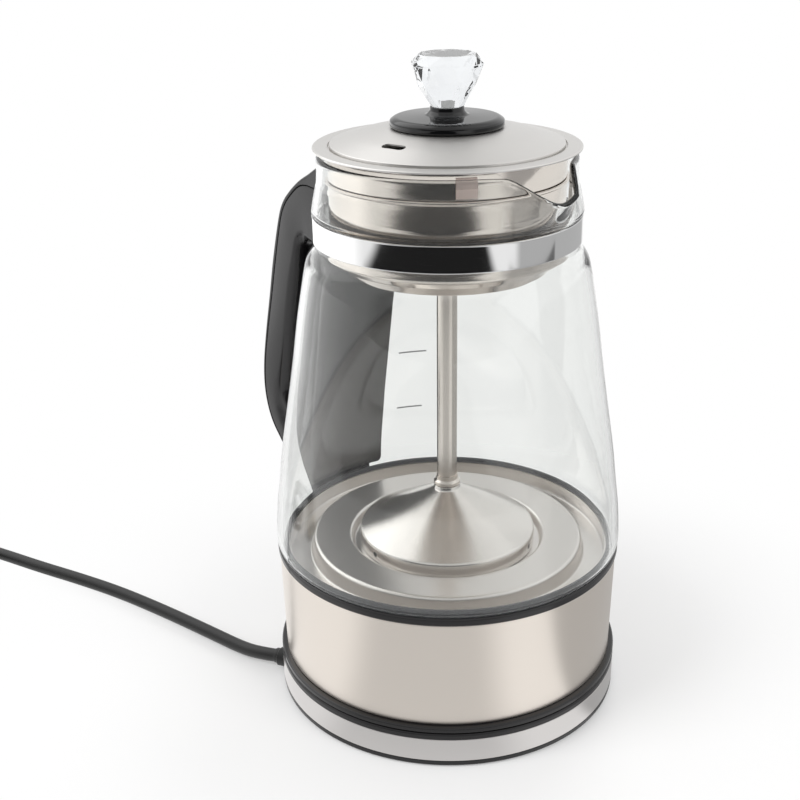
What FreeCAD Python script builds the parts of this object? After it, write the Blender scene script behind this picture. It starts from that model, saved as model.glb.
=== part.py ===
"""Automatic tea maker: a glass kettle with a steam-fed tea basket on a round power base.

Frame: millimetres, +Z up. The origin is where the turning axis of the kettle meets the table.
The pouring lip points to +X and the handle to -X.
"""
import FreeCAD, Part
import math
import os

import Sketcher

Vector = FreeCAD.Vector
UP = Vector(0, 0, 1)

doc = FreeCAD.newDocument("tea_maker")
sheet = doc.addObject("Spreadsheet::Sheet", "Sizes")

DRIVING_SIZES = [
    ("fixed_gap", 0.15, "gap between two pieces that are fixed together"),
    ("seat_gap", 0.3, "gap where a piece that lifts off or turns is seated"),
    ("base_radius", 78.0, "power base, radius of the black foot ring"),
    ("foot_drop", 0.5, "how far the rubber feet stand out below the base"),
    ("foot_radius", 6.0, "rubber foot"),
    ("foot_spigot_radius", 2.5, "stem that holds a foot in the cover"),
    ("foot_spigot_length", 1.6, "length of that stem"),
    ("foot_circle", 64.0, "radius of the circle of feet"),
    ("centre_boss_radius", 20.0, "flat boss in the middle of the underside"),
    ("cover_top", 3.0, "top of the bottom cover"),
    ("cover_lip_height", 4.0, "lip of the cover inside the skirt of the deck"),
    ("cover_lip_wall", 1.8, "thickness of that lip"),
    ("band_radius", 78.8, "steel band of the base"),
    ("band_wall", 0.6, "thickness of the steel band"),
    ("band_top", 14.0, "top edge of the steel band"),
    ("deck_top", 16.8, "top of the black deck"),
    ("deck_wall", 2.4, "thickness of the deck"),
    ("skirt_wall", 1.8, "skirt of the deck behind the steel band"),
    ("boss_radius", 3.6, "screw boss under the deck"),
    ("base_screw_circle", 48.0, "circle of the base screws"),
    ("screw_shank", 1.5, "radius of the self-tapping screws"),
    ("screw_head", 2.9, "head radius of the screws"),
    ("screw_head_height", 1.6, "head height of the screws"),
    ("base_screw_length", 9.0, "length of the base screws under the head"),
    ("tower_radius", 12.5, "round connector tower on the base"),
    ("tower_top", 27.0, "top of the connector tower"),
    ("tower_flange_radius", 22.0, "flange of the connector under the deck"),
    ("tower_flange_height", 4.0, "thickness of that flange"),
    ("tower_groove_inner", 5.5, "contact groove in the tower, inner radius"),
    ("tower_groove_outer", 8.5, "contact groove in the tower, outer radius"),
    ("tower_groove_floor", 17.0, "floor of the contact groove"),
    ("tower_bore_radius", 2.9, "bore for the middle contact pin"),
    ("tower_bore_floor", 20.0, "floor of that bore"),
    ("contact_wall", 0.6, "thickness of the sprung contact ring"),
    ("kettle_ring_top", 19.9, "top of the black ring at the foot of the kettle"),
    ("kettle_ring_radius", 78.8, "radius of that ring"),
    ("kettle_floor", 2.3, "thickness of the bottom cover of the kettle"),
    ("socket_clearance", 0.4, "running gap between the tower and the socket"),
    ("socket_wall", 4.6, "wall of the socket"),
    ("socket_roof", 3.2, "roof of the socket"),
    ("socket_flange_radius", 24.0, "flange that holds the socket in the kettle"),
    ("socket_flange_height", 2.0, "thickness of that flange"),
    ("retainer_radius", 28.0, "ring that keeps the socket flange down"),
    ("retainer_height", 2.4, "thickness of that ring above the flange"),
    ("sleeve_foot_radius", 76.2, "steel sleeve, outer radius at its foot"),
    ("sleeve_head_radius", 77.5, "steel sleeve, outer radius at its head"),
    ("sleeve_wall", 0.6, "thickness of the sleeve"),
    ("sleeve_top", 69.8, "top edge of the steel sleeve"),
    ("ring_radius", 78.2, "black ring between sleeve and glass"),
    ("ring_top", 73.3, "top of that ring"),
    ("ring_lip_bottom", 57.0, "lower end of the ring inside the sleeve"),
    ("ring_lip_wall", 2.0, "thickness of the ring inside the sleeve"),
    ("glass_foot", 71.8, "lower edge of the glass"),
    ("glass_foot_radius", 77.1, "outer radius of the glass inside the ring"),
    ("glass_belly_radius", 78.4, "largest outer radius of the glass"),
    ("glass_belly_height", 80.0, "height of that radius"),
    ("glass_mid_radius", 67.6, "outer radius where the cone of the glass is half way"),
    ("glass_mid_height", 160.0, "height of that radius"),
    ("glass_shoulder_radius", 60.2, "outer radius at the shoulder"),
    ("glass_shoulder_height", 204.5, "height of the shoulder"),
    ("glass_neck_radius", 55.9, "outer radius behind the neck band"),
    ("glass_collar_radius", 57.1, "outer radius just above the neck band"),
    ("glass_rim_radius", 54.2, "outer radius at the rim"),
    ("glass_rim_height", 249.0, "height of the rim"),
    ("glass_wall", 2.5, "thickness of the glass"),
    ("lip_reach", 64.5, "how far the pouring lip reaches from the axis"),
    ("lip_height", 235.5, "height of the tip of the lip"),
    ("lip_width", 18.0, "half width of the lip at the rim"),
    ("lip_root_height", 226.0, "height where the lip leaves the neck"),
    ("neck_band_bottom", 213.4, "lower edge of the chrome neck band"),
    ("neck_band_top", 224.4, "upper edge of the chrome neck band"),
    ("neck_band_wall", 0.9, "thickness of the neck band"),
    ("seal_wall", 1.1, "thickness of the silicone seal"),
    ("seal_height", 4.1, "height of the seal inside the glass"),
    ("plate_wall", 0.8, "thickness of the heater plate"),
    ("plate_channel_height", 67.0, "top of the channel round the heater plate"),
    ("plate_ring_height", 73.9, "top of the raised ring of the heater plate"),
    ("plate_ring_outer", 61.8, "outer radius of the raised ring"),
    ("plate_ring_inner", 44.2, "inner radius of the raised ring"),
    ("plate_well_height", 70.0, "floor of the well in the middle"),
    ("well_lap", 2.5, "lap of the well's disc over the plate"),
    ("plate_lip_height", 73.6, "top of the turned-up edge of the plate"),
    ("plate_corner", 1.6, "rounding of the raised ring"),
    ("spreader_wall", 2.0, "aluminium heat spreader under the raised ring"),
    ("element_radius", 3.3, "tube of the heating element"),
    ("element_circle", 53.0, "radius of the heating element's ring"),
    ("element_sweep", 320.0, "angle of the ring that the element covers"),
    ("terminal_length", 9.0, "cold ends of the heating element"),
    ("thermostat_radius", 9.0, "snap-disc thermostat under the well"),
    ("thermostat_height", 6.0, "height of its body"),
    ("thermostat_flange_radius", 13.0, "fixing flange of the thermostat"),
    ("thermostat_flange_height", 1.2, "thickness of that flange"),
    ("cone_rim_radius", 40.0, "steam cone, outer radius of its rim"),
    ("cone_rim_height", 77.2, "height of its rim"),
    ("cone_top_radius", 6.0, "steam cone, radius of its neck"),
    ("cone_top_height", 96.0, "height where the neck starts"),
    ("cone_neck_height", 1.6, "height of the neck of the cone"),
    ("cone_wall", 0.8, "sheet of the steam cone"),
    ("cone_hole_radius", 1.3, "water holes in the skirt of the cone"),
    ("cone_hole_angle", 24.0, "direction of the first of three water holes"),
    ("tube_radius", 4.5, "riser tube, outer radius"),
    ("tube_wall", 0.6, "wall of the riser tube"),
    ("tube_top", 232.0, "top of the riser tube inside the basket"),
    ("ferrule_radius", 6.0, "ferrule at the foot of the riser tube"),
    ("ferrule_height", 4.6, "height of the ferrule"),
    ("tube_nut_radius", 5.8, "nut that holds the tube under the basket"),
    ("tube_nut_height", 5.4, "height of that nut"),
    ("spray_cap_radius", 7.5, "cap over the top of the tube"),
    ("spray_cap_height", 5.0, "height of that cap"),
    ("spray_hole_radius", 1.2, "spray holes in the side of the cap"),
    ("basket_radius", 49.5, "tea basket, outer radius of its wall"),
    ("basket_wall", 0.8, "sheet of the basket"),
    ("basket_floor_height", 199.0, "underside of the basket"),
    ("basket_floor_radius", 41.8, "radius of the flat floor"),
    ("basket_step_radius", 44.8, "radius of the step under the wall"),
    ("basket_step_height", 203.4, "height of that step"),
    ("basket_wall_foot", 207.2, "height where the wall starts"),
    ("basket_top", 240.0, "top of the basket"),
    ("basket_ledge_radius", 50.7, "ledge round the top of the basket"),
    ("basket_hole_radius", 1.5, "drain holes in the floor of the basket"),
    ("drain_circle_inner", 18.0, "inner circle of drain holes"),
    ("drain_circle_outer", 32.0, "outer circle of drain holes"),
    ("lid_wall", 0.8, "sheet of the lid"),
    ("lid_top", 259.4, "top of the lid under the knob"),
    ("lid_flat_radius", 24.5, "flat middle of the lid"),
    ("lid_dome_radius", 48.6, "edge of the dome"),
    ("lid_dome_edge", 253.4, "height of the edge of the dome"),
    ("lid_groove_depth", 1.0, "groove between the dome and the flange"),
    ("lid_groove_width", 0.7, "width of that groove"),
    ("lid_flange_radius", 55.7, "outer radius of the lid"),
    ("lid_flange_top", 252.5, "top of the lid's flange"),
    ("lid_edge_drop", 2.9, "turned-down edge of the flange"),
    ("vent_length", 10.9, "steam vent in the lid"),
    ("vent_width", 4.0, "width of the vent"),
    ("vent_distance", 35.3, "distance of the vent's middle from the axis, along the lid"),
    ("vent_side", 7.4, "distance of the vent's middle to the side"),
    ("lid_skirt_radius", 49.5, "skirt of the lid"),
    ("lid_skirt_wall", 0.7, "sheet of the skirt"),
    ("liner_height", 246.6, "inner sheet of the lid"),
    ("liner_wall", 0.6, "thickness of the inner sheet"),
    ("liner_hole_radius", 2.0, "steam holes in the inner sheet"),
    ("liner_hole_circle", 30.0, "circle of the steam holes"),
    ("clip_width_angle", 9.4, "angle that one spring clip covers"),
    ("clip_wall", 0.5, "thickness of a spring clip"),
    ("clip_bow", 1.0, "how far a spring clip bows out"),
    ("clip_foot", 241.0, "lower end of the clips"),
    ("clip_head", 249.0, "upper end of the clips"),
    ("collar_radius", 23.6, "black collar under the knob"),
    ("collar_top", 263.6, "top of the collar's disc"),
    ("collar_round", 1.5, "rounding of the collar's edge"),
    ("collar_neck_radius", 7.0, "neck under the knob"),
    ("collar_neck_top", 267.6, "top of the neck"),
    ("knob_foot_radius", 6.9, "crystal knob, radius at its foot"),
    ("knob_waist_radius", 11.8, "radius of its lower facets"),
    ("knob_girdle_radius", 15.0, "largest radius"),
    ("knob_table_radius", 11.8, "radius of its flat top"),
    ("knob_waist_rise", 8.2, "height of the lower facets above the foot"),
    ("knob_girdle_rise", 17.0, "height of the girdle above the foot"),
    ("knob_height", 20.8, "height of the crystal"),
    ("knob_bore_depth", 4.6, "depth of the screw hole in the knob"),
    ("knob_screw_shank", 2.0, "radius of the knob screw"),
    ("knob_screw_head", 4.0, "head radius of the knob screw"),
    ("knob_screw_head_height", 2.0, "head height of the knob screw"),
    ("handle_half_width", 18.0, "half the width of the grip"),
    ("handle_root_radius", 57.6, "where the upper arm meets the neck"),
    ("handle_top_height", 240.4, "top of the upper arm at the neck"),
    ("handle_corner_reach", 93.4, "upper outer corner, distance from the axis"),
    ("handle_corner_height", 217.6, "height of that corner"),
    ("handle_heel_reach", 116.8, "outer corner at the foot of the grip"),
    ("handle_heel_height", 124.0, "height of that corner"),
    ("handle_elbow_reach", 114.6, "corner where the lower arm starts"),
    ("handle_elbow_height", 104.0, "height of that corner"),
    ("handle_foot_reach", 84.5, "outer side of the handle's foot"),
    ("handle_foot_height", 70.0, "height where the lower arm reaches the foot"),
    ("handle_foot_bottom", 57.0, "lower end of the handle's foot"),
    ("grip_gap_top_reach", 82.0, "finger opening, upper outer corner"),
    ("grip_gap_top_height", 198.5, "height of that corner"),
    ("grip_gap_heel_reach", 98.6, "finger opening, lower outer corner"),
    ("grip_gap_heel_height", 118.0, "height of that corner"),
    ("grip_gap_root_height", 100.5, "finger opening, lower inner corner"),
    ("grip_round", 2.0, "rounding of the grip towards the fingers"),
    ("back_plate_half_width", 23.0, "half the width of the plate along the glass"),
    ("back_plate_wall", 3.6, "thickness of that plate"),
    ("back_plate_bottom", 76.0, "lower end of that plate"),
    ("back_plate_top", 205.5, "upper end of that plate"),
    ("outer_shell_depth", 3.4, "depth of the outer half of the handle along the grip"),
    ("outer_shell_arm_depth", 11.5, "depth of the outer half over the upper arm"),
    ("shell_joint", 0.3, "visible joint between the two halves of the handle"),
    ("band_tab_length", 9.0, "tabs of the neck band inside the handle"),
    ("band_tab_height", 7.0, "height of the tabs"),
    ("band_tab_gap", 3.0, "gap between the two tabs"),
    ("handle_screw_height", 62.0, "screw through the foot of the handle"),
    ("handle_screw_length", 8.0, "length of that screw under its head"),
    ("switch_height", 41.0, "middle of the switch on the sleeve"),
    ("switch_half_width", 13.0, "half width of the switch surround"),
    ("switch_half_height", 11.0, "half height of the switch surround"),
    ("switch_neck_half_width", 9.5, "half width of the part inside the sleeve's window"),
    ("switch_neck_half_height", 7.5, "half height of that part"),
    ("switch_face_reach", 83.0, "outer face of the surround, distance from the axis"),
    ("switch_neck_reach", 67.0, "inner end of the switch surround"),
    ("lever_half_width", 5.5, "half width of the switch lever"),
    ("lever_gap", 0.5, "gap beside the switch lever"),
    ("lever_pivot_reach", 78.0, "pivot of the lever, distance from the axis"),
    ("lever_pivot_radius", 1.5, "pivot pin of the lever"),
    ("lever_hub_radius", 4.0, "hub of the lever round the pin"),
    ("lever_reach", 91.0, "outer end of the lever"),
    ("lever_paddle_thickness", 3.0, "thickness of the lever's paddle"),
    ("microswitch_length", 8.0, "microswitch behind the lever"),
    ("cord_radius", 3.2, "mains cord"),
    ("cord_rest", 3.3, "height of the cord's middle on the table"),
    ("cord_exit_height", 6.0, "height of the cord where it leaves the base"),
    ("relief_length", 22.0, "strain relief, mostly inside the base"),
    ("relief_end_radius", 4.1, "strain relief at its outer end"),
    ("relief_root_radius", 5.0, "strain relief at its root"),
    ("relief_lip", 2.6, "length of the strain relief outside the base"),
    ("clamp_width", 16.0, "cord clamp inside the base"),
    ("clamp_thickness", 5.0, "thickness of the clamp along the cord"),
    ("coil_radius", 38.5, "outer turn of the coiled cord, at its middle"),
    ("coil_step", 7.0, "distance between two turns of the coil"),
    ("plug_radius", 18.0, "round body of the plug"),
    ("plug_body_length", 22.0, "length of that round body"),
    ("plug_back_radius", 9.0, "back end of the plug's grip"),
    ("plug_taper_length", 16.0, "length of the grip behind the round body"),
    ("plug_relief_length", 20.0, "bend relief of the plug"),
    ("plug_relief_radius", 4.4, "end radius of the bend relief"),
    ("plug_pin_radius", 2.4, "plug pins"),
    ("plug_pin_length", 19.0, "length of the plug pins"),
    ("plug_pin_spacing", 19.0, "distance between the plug pins"),
]

for row, (alias, value, note) in enumerate(DRIVING_SIZES, start=1):
    sheet.set("A%d" % row, note)
    sheet.set("B%d" % row, str(value))
    sheet.setAlias("B%d" % row, alias)
doc.recompute()


class Size:
    """A length with its value now and the sheet expression that gives it."""

    def __init__(self, value, text):
        self.value = value
        self.text = text

    def __add__(self, other):
        other = as_size(other)
        return Size(self.value + other.value, "(%s + %s)" % (self.text, other.text))

    def __radd__(self, other):
        return as_size(other) + self

    def __sub__(self, other):
        other = as_size(other)
        return Size(self.value - other.value, "(%s - %s)" % (self.text, other.text))

    def __rsub__(self, other):
        return as_size(other) - self

    def __mul__(self, other):
        other = as_size(other)
        return Size(self.value * other.value, "(%s * %s)" % (self.text, other.text))

    def __rmul__(self, other):
        return as_size(other) * self

    def __truediv__(self, other):
        other = as_size(other)
        return Size(self.value / other.value, "(%s / %s)" % (self.text, other.text))

    def __neg__(self):
        return Size(-self.value, "(0 - %s)" % self.text)

    def __float__(self):
        return float(self.value)


def as_size(number):
    """Turn a plain number into a Size, and leave a Size as it is."""
    if isinstance(number, Size):
        return number
    return Size(float(number), "%.6f" % number)


class DrivingSizes:
    """Gives each alias of the sheet as a Size."""

    def __getattr__(self, alias):
        return Size(float(sheet.get(alias)), "Sizes." + alias)


s = DrivingSizes()
subparts = {}


def keep(label, item):
    """Record an object as the sub-part that is written under this label."""
    item.Label = label
    subparts[label] = item
    return item


def bind(item, prop, size):
    """Give a property its value and tie it to the sheet."""
    size = as_size(size)
    setattr_path(item, prop, size.value)
    if "Sizes." in size.text:
        item.setExpression(prop, size.text)


def setattr_path(item, prop, value):
    """Set a plain property; a placement's parts are set through their expression alone."""
    if "." not in prop:
        setattr(item, prop, value)
    else:
        item.setExpression(prop, "%.6f" % value)


def place(item, x=0.0, y=0.0, z=0.0, axis=None, angle=0.0):
    """Move an object, with its place tied to the sheet."""
    if axis is not None:
        item.Placement = FreeCAD.Placement(Vector(0, 0, 0), FreeCAD.Rotation(axis, angle))
    for name, size in (("x", x), ("y", y), ("z", z)):
        size = as_size(size)
        item.setExpression("Placement.Base." + name, size.text)
    return item


def origin_plane(body, role):
    """Find one of a body's own origin planes."""
    for feature in body.Origin.OriginFeatures:
        if feature.Role == role:
            return feature
    raise ValueError("no plane " + role)


def corner_arc(before, corner, after, radius):
    """Centre and the two tangent points of a rounding between two straight lines."""
    back = Vector(before[0] - corner[0], before[1] - corner[1], 0).normalize()
    ahead = Vector(after[0] - corner[0], after[1] - corner[1], 0).normalize()
    half = back.getAngle(ahead) / 2
    reach = radius / math.tan(half)
    middle = Vector(corner[0], corner[1], 0)
    bisector = (back + ahead).normalize()
    centre = middle + bisector * (radius / math.sin(half))
    return centre, middle + back * reach, middle + ahead * reach


def pin_point(sketch, geometry, point, spot):
    """Fix a sketch point at a pair of sizes measured from the sketch origin."""
    for kind, axis, size in (("DistanceX", -2, spot[0]), ("DistanceY", -1, spot[1])):
        size = as_size(size)
        if size.text == "0.000000":
            sketch.addConstraint(Sketcher.Constraint("PointOnObject", geometry, point, axis))
            continue
        index = sketch.addConstraint(
            Sketcher.Constraint(kind, -1, 1, geometry, point, size.value))
        if "Sizes." in size.text:
            sketch.setExpression("Constraints[%d]" % index, size.text)


def outline_sketch(body, outline, role="XZ_Plane"):
    """Draw a closed outline of straight lines; a third entry in a point rounds its corner."""
    sketch = body.newObject("Sketcher::SketchObject", body.Name + "_outline")
    sketch.AttachmentSupport = [(origin_plane(body, role), "")]
    sketch.MapMode = "FlatFace"
    count = len(outline)
    spots = [(as_size(point[0]), as_size(point[1])) for point in outline]
    flat = [(x.value, y.value) for x, y in spots]
    rounds = [as_size(point[2]) if len(point) > 2 else None for point in outline]
    starts = []
    ends = []
    centres = []
    for index in range(count):
        corner = flat[index]
        if rounds[index] is None:
            starts.append(Vector(corner[0], corner[1], 0))
            ends.append(Vector(corner[0], corner[1], 0))
            centres.append(None)
            continue
        centre, entry, leave = corner_arc(
            flat[index - 1], corner, flat[(index + 1) % count], rounds[index].value)
        ends.append(entry)
        starts.append(leave)
        centres.append(centre)
    for index in range(count):
        following = (index + 1) % count
        sketch.addGeometry(Part.LineSegment(starts[index], ends[following]), False)
    for index in range(count):
        before = (index - 1) % count
        if rounds[index] is None:
            sketch.addConstraint(Sketcher.Constraint("Coincident", before, 2, index, 1))
            pin_point(sketch, index, 1, spots[index])
            continue
        round_corner(sketch, before, index, spots[index], rounds[index],
                     centres[index], ends[index], starts[index])
    return sketch


def round_corner(sketch, before, after, spot, radius, centre, entry, leave):
    """Join two lines of a sketch by a tangent arc whose corner point stays tied to the sheet."""
    turn = (entry - centre).cross(leave - centre).z
    first, last = (entry, leave) if turn > 0 else (leave, entry)
    circle = Part.Circle(centre, UP, radius.value)
    arc = Part.ArcOfCircle(circle, circle.parameter(first), circle.parameter(last))
    arc_index = sketch.addGeometry(arc, False)
    entry_end, leave_end = (1, 2) if turn > 0 else (2, 1)
    corner_index = sketch.addGeometry(Part.Point(Vector(spot[0].value, spot[1].value, 0)), True)
    sketch.addConstraint(Sketcher.Constraint("PointOnObject", corner_index, 1, before))
    sketch.addConstraint(Sketcher.Constraint("PointOnObject", corner_index, 1, after))
    pin_point(sketch, corner_index, 1, spot)
    sketch.addConstraint(Sketcher.Constraint("Tangent", before, 2, arc_index, entry_end))
    sketch.addConstraint(Sketcher.Constraint("Tangent", arc_index, leave_end, after, 1))
    index = sketch.addConstraint(Sketcher.Constraint("Radius", arc_index, radius.value))
    if "Sizes." in radius.text:
        sketch.setExpression("Constraints[%d]" % index, radius.text)


def turned(name, outline, sweep=360.0, heading=0.0):
    """A body turned about the vertical axis from an outline of (radius, height) points."""
    body = doc.addObject("PartDesign::Body", name)
    sketch = outline_sketch(body, outline)
    turn = body.newObject("PartDesign::Revolution", name + "_turn")
    turn.Profile = sketch
    turn.ReferenceAxis = (sketch, ["V_Axis"])
    bind(turn, "Angle", sweep)
    body.Tip = turn
    if heading:
        body.Placement = FreeCAD.Placement(Vector(0, 0, 0), FreeCAD.Rotation(UP, heading))
    return body


def padded(name, outline, half_width):
    """A body padded to both sides of the XZ plane from an outline of (x, z) points."""
    body = doc.addObject("PartDesign::Body", name)
    sketch = outline_sketch(body, outline)
    pad = body.newObject("PartDesign::Pad", name + "_pad")
    pad.Profile = sketch
    pad.Midplane = True
    bind(pad, "Length", 2 * as_size(half_width))
    body.Tip = pad
    return body


def cylinder(name, radius, height, x=0.0, y=0.0, z=0.0, axis=None, angle=0.0):
    """A Part cylinder with its sizes and place tied to the sheet."""
    item = doc.addObject("Part::Cylinder", name)
    bind(item, "Radius", radius)
    bind(item, "Height", height)
    return place(item, x, y, z, axis, angle)


def box(name, low, high):
    """A Part box between two corners whose coordinates are sizes."""
    item = doc.addObject("Part::Box", name)
    low = [as_size(value) for value in low]
    high = [as_size(value) for value in high]
    for prop, lower, upper in zip(("Length", "Width", "Height"), low, high):
        bind(item, prop, upper - lower)
    return place(item, low[0], low[1], low[2])


def fused(name, items):
    """Join several shapes into one solid."""
    item = doc.addObject("Part::MultiFuse", name)
    item.Shapes = items
    item.Refine = True
    return item


def cut(name, base, tool):
    """Take one shape out of another."""
    item = doc.addObject("Part::Cut", name)
    item.Base = base
    item.Tool = tool
    return item


def common(name, first, second):
    """Keep what two shapes share."""
    item = doc.addObject("Part::Common", name)
    item.Base = first
    item.Tool = second
    return item


def group(name, items):
    """Several separate solids in one sub-part."""
    item = doc.addObject("Part::Compound", name)
    item.Links = items
    return item


def ring_spots(radius, count, first_angle=0.0):
    """Places on a circle, as pairs of sizes."""
    spots = []
    for index in range(count):
        angle = math.radians(first_angle + 360.0 * index / count)
        spots.append((radius * math.cos(angle), radius * math.sin(angle)))
    return spots


# Power base

FOOT_ANGLE = 20.0
BASE_SCREW_ANGLE = 65.0
FOUR = 4
THREE = 3

skirt_outer = s.band_radius - s.band_wall - s.fixed_gap
skirt_inner = skirt_outer - s.skirt_wall
cover_lip_outer = skirt_inner - s.fixed_gap
cover_lip_inner = cover_lip_outer - s.cover_lip_wall
deck_underside = s.deck_top - s.deck_wall
tower_hole = s.tower_radius + s.fixed_gap
foot_hole = s.foot_spigot_radius + s.fixed_gap


def base_cover():
    """Bottom cover with a middle boss, a locating lip, and holes for feet and screws."""
    blank = turned("cover_blank", [
        (0, 0), (s.centre_boss_radius, 0), (s.centre_boss_radius, s.foot_drop),
        (s.base_radius, s.foot_drop), (s.base_radius, s.cover_top),
        (cover_lip_outer, s.cover_top), (cover_lip_outer, s.cover_top + s.cover_lip_height),
        (cover_lip_inner, s.cover_top + s.cover_lip_height), (cover_lip_inner, s.cover_top),
        (0, s.cover_top)])
    holes = []
    for x, y in ring_spots(s.foot_circle, FOUR, FOOT_ANGLE):
        holes.append(cylinder("foot_hole", foot_hole, s.foot_spigot_length + s.fixed_gap,
                              x, y, s.foot_drop))
    for x, y in ring_spots(s.base_screw_circle, FOUR, BASE_SCREW_ANGLE):
        holes.append(cylinder("screw_hole", s.screw_shank + s.fixed_gap, s.cover_top, x, y, 0))
        holes.append(cylinder("screw_sink", s.screw_head + s.fixed_gap,
                              s.screw_head_height + s.fixed_gap, x, y, s.foot_drop))
    holes.append(cord_passage())
    keep("base_cover", cut("cover_cut", blank, fused("cover_holes", holes)))


def base_feet():
    """Four rubber feet, each a pad with a stem pressed into the cover."""
    feet = []
    for x, y in ring_spots(s.foot_circle, FOUR, FOOT_ANGLE):
        pad = cylinder("foot_pad", s.foot_radius, s.foot_drop, x, y, 0)
        stem = cylinder("foot_stem", s.foot_spigot_radius,
                        s.foot_drop + s.foot_spigot_length, x, y, 0)
        feet.append(fused("foot", [pad, stem]))
    keep("base_feet", group("feet", feet))


def base_deck():
    """Black deck with its skirt, the hole for the connector tower and the screw bosses."""
    band_seat = s.band_top + s.fixed_gap
    blank = turned("deck_blank", [
        (tower_hole, deck_underside), (tower_hole, s.deck_top), (s.band_radius, s.deck_top, 0.8),
        (s.band_radius, band_seat), (skirt_outer, band_seat),
        (skirt_outer, s.cover_top + s.fixed_gap), (skirt_inner, s.cover_top + s.fixed_gap),
        (skirt_inner, deck_underside)])
    boss_foot = s.cover_top + s.fixed_gap
    bosses = [blank]
    pilots = []
    for x, y in ring_spots(s.base_screw_circle, FOUR, BASE_SCREW_ANGLE):
        bosses.append(cylinder("deck_boss", s.boss_radius, s.deck_top - s.deck_wall / 2 - boss_foot,
                               x, y, boss_foot))
        pilots.append(cylinder("deck_pilot", s.screw_shank + s.fixed_gap,
                               s.base_screw_length, x, y, boss_foot - 1))
    deck = cut("deck_drilled", fused("deck_with_bosses", bosses), fused("deck_pilots", pilots))
    keep("base_deck", cut("deck_cut", deck, cord_passage()))


def base_screws():
    """Self-tapping screws from below."""
    screws = []
    head_floor = s.foot_drop + s.fixed_gap
    for x, y in ring_spots(s.base_screw_circle, FOUR, BASE_SCREW_ANGLE):
        head = cylinder("screw_head", s.screw_head, s.screw_head_height, x, y, head_floor)
        shank = cylinder("screw_shank", s.screw_shank, s.base_screw_length, x, y, head_floor)
        screws.append(fused("base_screw", [head, shank]))
    keep("base_screws", group("base_screw_set", screws))


def steel_band():
    """Thin steel band round the base, notched where the cord comes out."""
    band_inner = s.band_radius - s.band_wall
    foot = s.cover_top + s.fixed_gap
    blank = turned("band_blank", [
        (band_inner, foot), (s.band_radius, foot),
        (s.band_radius, s.band_top), (band_inner, s.band_top)])
    keep("base_steel_band", cut("band_cut", blank, cord_passage()))


def base_connector():
    """Male half of the round connector: flange, tower, contact groove and middle bore."""
    flange_top = deck_underside - s.fixed_gap
    flange_foot = flange_top - s.tower_flange_height
    keep("base_connector", turned("connector_tower", [
        (0, flange_foot), (s.tower_flange_radius, flange_foot), (s.tower_flange_radius, flange_top),
        (s.tower_radius, flange_top), (s.tower_radius, s.tower_top, 1.0),
        (s.tower_groove_outer, s.tower_top), (s.tower_groove_outer, s.tower_groove_floor),
        (s.tower_groove_inner, s.tower_groove_floor), (s.tower_groove_inner, s.tower_top - 2),
        (s.tower_bore_radius, s.tower_top - 2), (s.tower_bore_radius, s.tower_bore_floor),
        (0, s.tower_bore_floor)]))
    contact_outer = s.tower_groove_outer - s.fixed_gap
    contact_foot = s.tower_groove_floor + s.fixed_gap
    keep("base_contact", turned("contact_ring", [
        (contact_outer - s.contact_wall, contact_foot), (contact_outer, contact_foot),
        (contact_outer, s.tower_top - 3), (contact_outer - s.contact_wall, s.tower_top - 3)]))


# Mains cord. Its route on the table is a list of points chosen by hand from the exit onwards.

LEAD_POINTS = [
    (-51.6, -61.9, 6.0),
    (-61.9, -66.6, 4.7),
    (-74.0, -69.4, 3.3),
    (-94.6, -73.1, 3.3),
    (-127.4, -79.6, 3.3),
    (-160.0, -87.3, 3.3),
    (-187.4, -96.3, 3.3),
    (-215.1, -106.7, 3.3),
    (-242.3, -115.7, 3.3),
    (-265.6, -124.6, 3.3),
]
TAIL_RISE = 18.2
CORD_TURNS = 2.25
QUARTERS_PER_TURN = 4

exit_direction = (Vector(*LEAD_POINTS[1]) - Vector(*LEAD_POINTS[0]))
exit_direction.z = 0
exit_direction.normalize()
exit_point = Vector(*LEAD_POINTS[0])


def along_exit(name, profile):
    """Turn a (distance along the cord, radius) profile about the line of the cord's exit."""
    points = [Vector(0, 0, profile[0][0])]
    points += [Vector(radius, 0, distance) for distance, radius in profile]
    points += [Vector(0, 0, profile[-1][0]), Vector(0, 0, profile[0][0])]
    solid = Part.Face(Part.makePolygon(points)).revolve(Vector(0, 0, 0), UP, 360)
    item = doc.addObject("Part::Feature", name)
    item.Shape = solid
    item.Placement = FreeCAD.Placement(exit_point, FreeCAD.Rotation(UP, exit_direction))
    return item


def cord_passage():
    """The hole that the strain relief takes through the skirt and the steel band."""
    gap = float(s.fixed_gap)
    root = float(s.relief_root_radius)
    return along_exit("cord_passage", [(-22.0, root + gap), (6.0, root + gap)])


def strain_relief():
    """Tapered strain relief with a collar inside the skirt, and the clamp bar behind it."""
    outside = float(s.relief_lip)
    root = float(s.relief_root_radius)
    tip = float(s.relief_end_radius)
    inner_end = outside - float(s.relief_length)
    sleeve = along_exit("relief_body", [(inner_end, tip), (-4.0, root), (0.0, root), (outside, tip)])
    bore = along_exit("relief_bore", [(inner_end - 1, float(s.cord_radius)),
                                      (outside + 1, float(s.cord_radius))])
    hollow = cut("relief_hollow", sleeve, bore)
    floor = box("relief_floor", (-s.base_radius, -s.base_radius, s.cover_top - 5),
                (0, 0, s.cover_top + s.fixed_gap))
    inner_side = cylinder("relief_inner_side", skirt_inner + 0.5, s.band_top, 0, 0, 0)
    trim = common("relief_trim", floor, inner_side)
    keep("strain_relief", cut("relief_cut", hollow, trim))


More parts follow.
